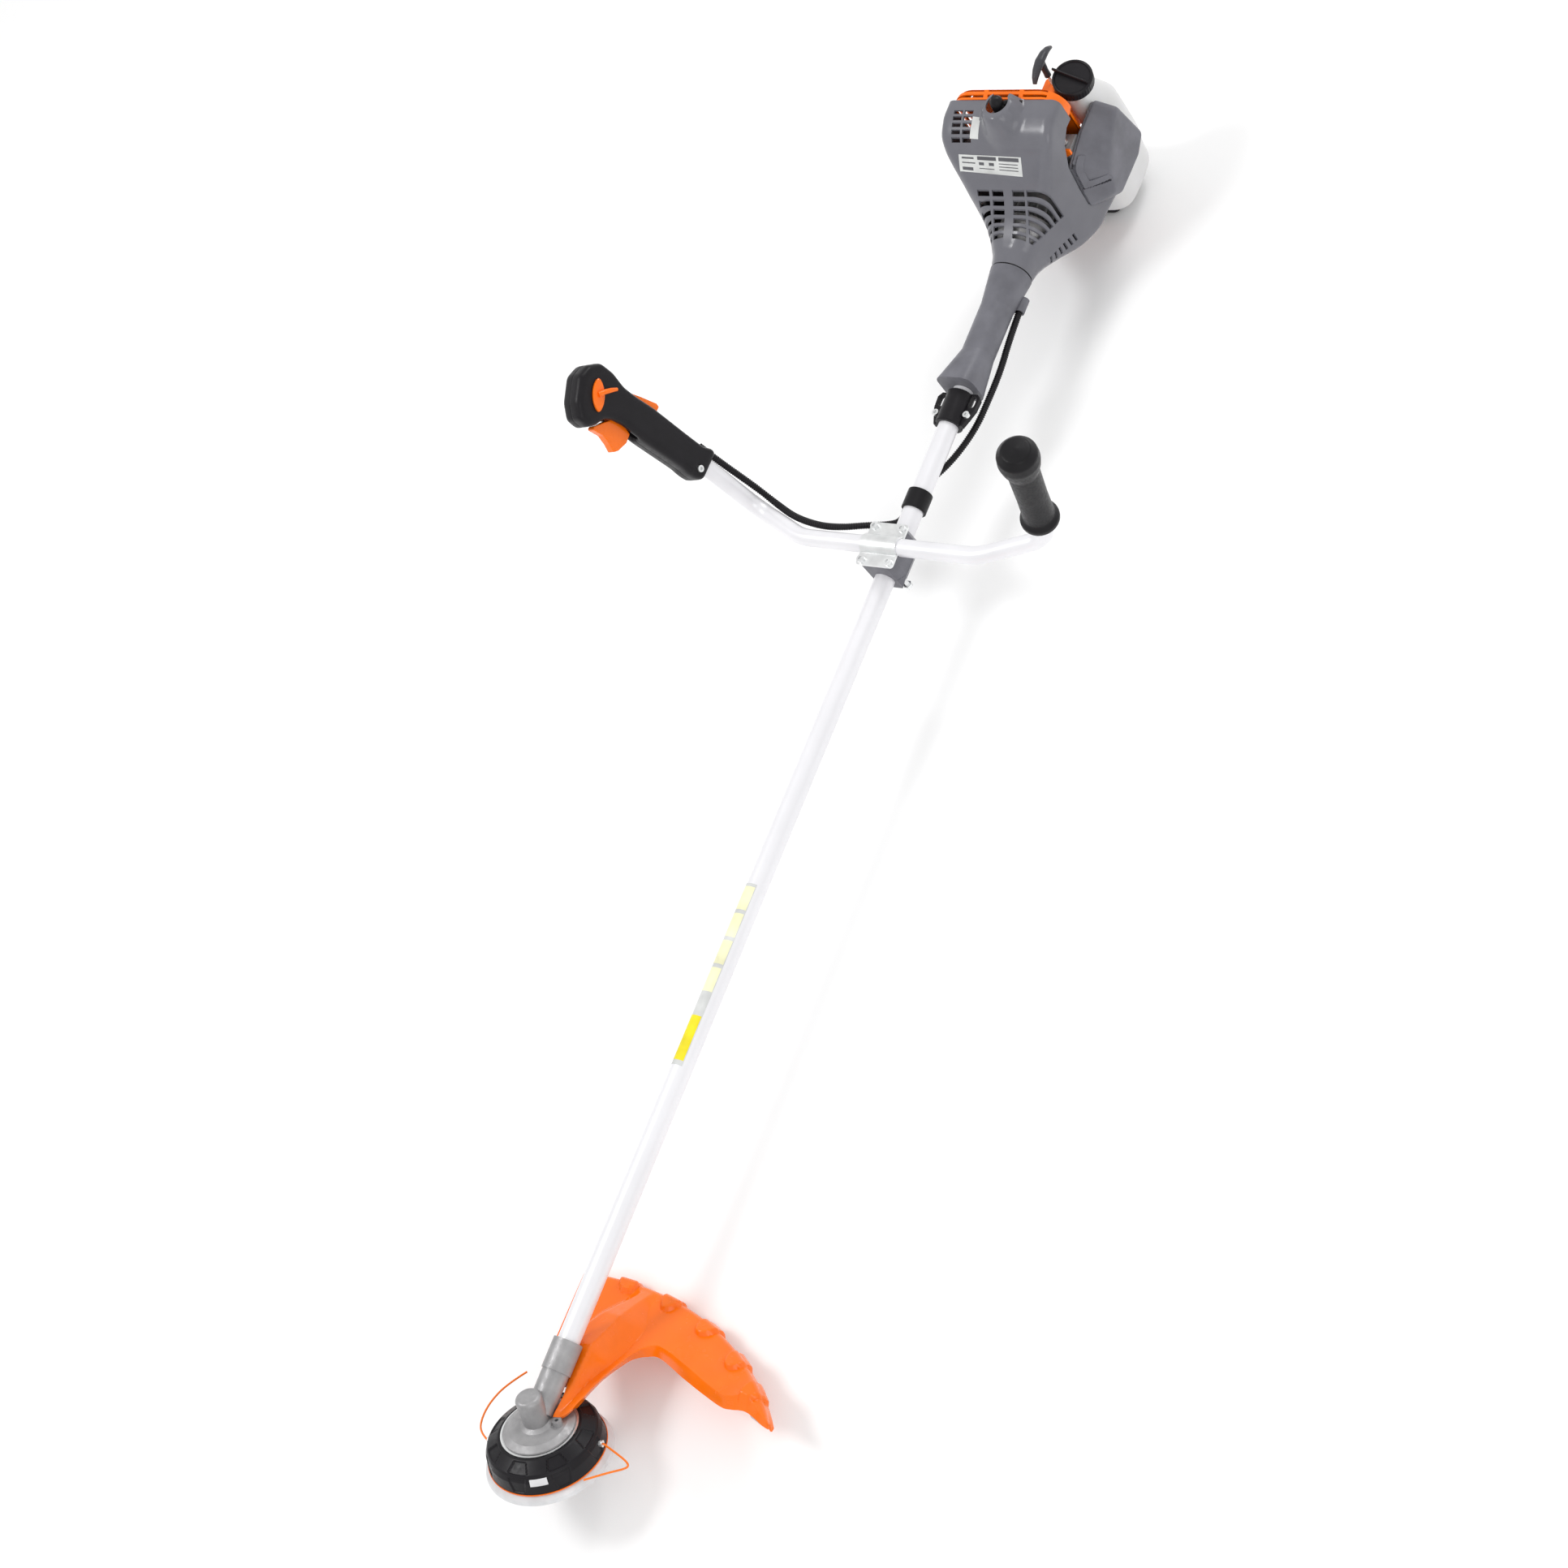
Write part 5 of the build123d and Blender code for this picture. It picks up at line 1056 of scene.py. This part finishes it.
def make_cords():
    make_conduit()
    for name, route in (("folded", FOLDED_TAIL), ("long", LONG_TAIL)):
        make_line(
            "trimmer_line_" + name, [deck(x, y, EXIT_H) for x, y in route], "orange_line",
            "cutting_head", "line_tail_" + name, LINE_D, far_end="bare", stiffness="stiff", lay="loose",
        )
    make_line(
        "pull_rope", ROPE_ROUTE, "rope", "starter_grip", "starter_rope", ROPE_D,
        far_end="object", stiffness="limp", lay="taut",
    )


make_cords()


# ------------------------------------------------------------------ moulded pieces
def moulded(name, nodes, slot, body="frame", voxel=1.5, rounds=6, dent=None, sharp=60, cutters=()):
    """The CAD nodes joined and softened all round, as a moulding is; dent moves its points."""
    parts = []
    for node in nodes:
        mesh = NODES[node].data
        points = [vertex.co.copy() for vertex in mesh.vertices]
        parts.append((points, [tuple(face.vertices) for face in mesh.polygons]))
    thing = scratch(merged(parts))
    weld = thing.modifiers.new("weld", "WELD")
    weld.merge_threshold = 0.00001
    remesh = thing.modifiers.new("remesh", "REMESH")
    remesh.mode = "VOXEL"
    remesh.voxel_size = voxel * MM
    smooth = thing.modifiers.new("smooth", "SMOOTH")
    smooth.factor = 0.5
    smooth.iterations = rounds
    mesh = evaluated(thing)
    if dent:
        normals = [vertex.normal.copy() for vertex in mesh.vertices]
        for vertex, normal in zip(mesh.vertices, normals):
            vertex.co -= normal * dent(vertex.co) * MM
    if cutters:
        mesh = cut_away(mesh, cutters)
    return finish_piece(name, mesh, slot, body, nodes, sharp)


def seam_dent(centre, direction, width, depth):
    """A groove all round where the plane through centre cuts the piece."""

    def dent(point):
        away = abs((point - centre).dot(direction)) / MM
        return depth * max(0.0, 1 - away / width)

    return dent


def swell(amount):
    """Makes up for what smoothing takes away, or with a minus sign takes more."""
    return lambda point: -amount


moulded("tank_shell", ("fuel_tank",), "milky_plastic", voxel=3.0, rounds=110, dent=swell(1.4))
moulded("stand_shell", ("base_stand",), "black_plastic", voxel=2.0, rounds=6, dent=swell(-3.0))
moulded("plain_grip_shell", ("plain_grip",), "black_rubber", voxel=1.2, rounds=7)
# Room for the throttle lock in the grip: (forward, height).
LOCK_SLOT = [(-6, 103), (-28, 103), (-28, 163), (-1, 163), (-1, 148), (-4, 136)]
LOCK_SLOT_WIDTH = 10.4
lock_room = prism(
    [grip(x, y, -LOCK_SLOT_WIDTH / 2) for x, y in LOCK_SLOT], GRIP_OUTWARD * LOCK_SLOT_WIDTH * MM
)
moulded(
    "throttle_grip_shell", ("throttle_grip_inner", "throttle_grip_outer"), "black_plastic",
    voxel=1.1, rounds=75, dent=seam_dent(grip(0, 0, 0), GRIP_OUTWARD, 0.9, 0.6),
    cutters=[merged([lock_room])],
)
moulded("trigger_shell", ("throttle_trigger",), "orange_plastic", "trigger", 0.8, 5)


# ------------------------------------------------------------------ air filter cover
# The bent recess in the front of the cover: (x, z).
RECESS = [(73, 66), (73, 28), (101, 17), (99, 25), (81, 35), (79, 59)]
RECESS_DEPTH = 5.0
RECESS_STATION = 1662.0
COVER_SWELL = 1.0


def inside(outline, x, z):
    """Whether the point lies in the flat outline."""
    hit = False
    for (x0, z0), (x1, z1) in zip(outline, outline[1:] + outline[:1]):
        if (z0 > z) != (z1 > z) and x < x0 + (x1 - x0) * (z - z0) / (z1 - z0):
            hit = not hit
    return hit


def filter_dent(point):
    x, station, z = point.x / MM, point.y / MM + BASE_STATION, point.z / MM - SHAFT_Z
    return RECESS_DEPTH if station < RECESS_STATION and inside(RECESS, x, z) else -COVER_SWELL


moulded(
    "filter_shell", ("filter_cover",), "satin_grey_plastic", voxel=1.1, rounds=40, dent=filter_dent,
)
moulded("filter_backing", ("filter_base",), "satin_grey_plastic", voxel=1.2, rounds=8)

# ------------------------------------------------------------------ fuel cap
CAP_OUT = Vector((0.27, -0.09, 0.958)).normalized()
CAP_BAR = Vector((0.936, -0.184, -0.299))
NECK_AT = at(55.5, 1737, 98)
CAP_PROFILE = [
    (17.4, 10), (25.8, 10), (26, 11), (26, 20.5), (26, 22), (25, 23.6), (23.6, 24.2),
    (22.4, 23.6), (21.8, 22.4), (0.01, 22.4), (0.01, 20.4), (17.4, 20.4), (17.4, 10),
]
CAP_RIBS = 40
RIB_DEPTH = 0.7
# The grip bar across the cap: (distance along it, height), and its half width there.
CAP_RIDGE = [(-29, 25.5), (-24, 24.6), (-10, 23.6), (10, 23.6), (20, 23.4), (23, 22.6)]
RIDGE_WIDTHS = (1.2, 1.8, 2.0, 2.0, 1.8, 1.2)


def cap_knurl(radius, height, angle):
    """Fine ribs round the cap's side."""
    on_side = 10.5 < height < 21 and radius > 24
    rib = RIB_DEPTH * max(0.0, math.sin(CAP_RIBS * angle))
    return radius - (rib if on_side else 0), height


def make_cap():
    side = (CAP_BAR - CAP_OUT * CAP_BAR.dot(CAP_OUT)).normalized()
    cap = lathe(CAP_PROFILE, NECK_AT, CAP_OUT, side, 240, cap_knurl)
    path = [NECK_AT + (side * far + CAP_OUT * up) * MM for far, up in CAP_RIDGE]
    ridge = tube(path, [width * MM for width in RIDGE_WIDTHS], 16, 2.0, CAP_OUT.cross(side))
    finish_piece("cap_shell", merged([cap, ridge]), "black_plastic", "cap", ("fuel_cap",), 40)


make_cap()

# ------------------------------------------------------------------ starter handle
# The bar as (station, z), and heights of the stem along the pull.
HANDLE_BAR = [
    (1716, 131), (1723, 135.5), (1732, 138.5), (1745, 140), (1758, 138.5), (1767, 135.5),
    (1774, 131),
]
HANDLE_RADII = (2.2, 3.6, 4.6, 5.2, 4.6, 3.6, 2.2)
HANDLE_STEM = (8, 2, -8, -17)
STEM_RADII = (5.4, 4.8, 4.2, 4.6)


def make_handle():
    bar = [at(HANDLE_X, station, z) for station, z in HANDLE_BAR]
    bar_part = tube(bar, [radius * MM for radius in HANDLE_RADII], 20, 1.3, Vector((0, 0, 1)))
    stem = [HANDLE_AT + PULL * height * MM for height in HANDLE_STEM]
    stem_part = tube(stem, [radius * MM for radius in STEM_RADII], 20)
    thing = scratch(merged([bar_part, stem_part]))
    remesh = thing.modifiers.new("remesh", "REMESH")
    remesh.voxel_size = 0.8 * MM
    smooth = thing.modifiers.new("smooth", "SMOOTH")
    smooth.iterations = 6
    mesh = evaluated(thing)
    finish_piece("handle_shell", mesh, "dark_grey_plastic", "starter_grip", ("starter_handle",), 60)


make_handle()

# ------------------------------------------------------------------ spark plug boot
BOOT_CAP = [(0, 1664, 120), (0, 1664, 157), (0.4, 1664.4, 166), (1, 1665, 170.5)]
BOOT_RADII = (8.6, 8.6, 8.2, 4.2)
BOOT_LEAD = [(0, 1664, 157), (8, 1668, 156), (16, 1673, 152), (25, 1676, 146)]
LEAD_R = 3.6


def make_boot():
    cap = tube([at(*spot) for spot in BOOT_CAP], [radius * MM for radius in BOOT_RADII], 32)
    lead = tube([at(*spot) for spot in BOOT_LEAD], [LEAD_R * MM] * len(BOOT_LEAD), 20)
    boot = merged([cap, lead])
    finish_piece("boot_shell", boot, "black_rubber", replaces=("plug_boot",), sharp=50)


make_boot()

# ------------------------------------------------------------------ stop switch
SWITCH_CENTRE = (21.5, 200.5)
SWITCH_ALONG = Vector((0.87, -0.49))
SWITCH_ACROSS = Vector((-SWITCH_ALONG.y, SWITCH_ALONG.x))
SWITCH_FACE = 17.3
SWITCH_STEPS = 48
# Half length, half width and height above the grip's face of each ring of the lens.
SWITCH_RINGS = ((20, 8.5, 0), (20, 8.5, 2.2), (19, 7.6, 3), (0.1, 0.1, 3.4))
# The finger lever: (forward, height, height above the face), and its radius there.
SWITCH_LEVER = [(22, 202, 4), (16, 198, 6.5), (9, 191, 8), (3.5, 184.5, 7.5)]
LEVER_RADII = (3.4, 3.2, 2.8, 2.0)


def switch_outline(half_long, half_wide):
    """A lens-shaped outline in the grip's forward and height directions."""
    spots = []
    for step in range(SWITCH_STEPS):
        angle = 2 * math.pi * step / SWITCH_STEPS
        far = SWITCH_ALONG * half_long * math.cos(angle)
        pointed = abs(math.sin(angle)) ** 0.35
        wide = SWITCH_ACROSS * half_wide * math.sin(angle) * pointed
        spots.append(Vector(SWITCH_CENTRE) + far + wide)
    return spots


def make_switch():
    points = []
    for half_long, half_wide, above in SWITCH_RINGS:
        outward = -SWITCH_FACE - above
        points += [grip(x, y, outward) for x, y in switch_outline(half_long, half_wide)]
    plate = points, grid_faces(len(SWITCH_RINGS), SWITCH_STEPS)
    path = [grip(x, y, -SWITCH_FACE - above) for x, y, above in SWITCH_LEVER]
    finger = tube(path, [radius * MM for radius in LEVER_RADII], 20)
    switch = merged([plate, finger])
    finish_piece("switch_shell", switch, "orange_plastic", "switch", ("stop_switch",), 40)


make_switch()
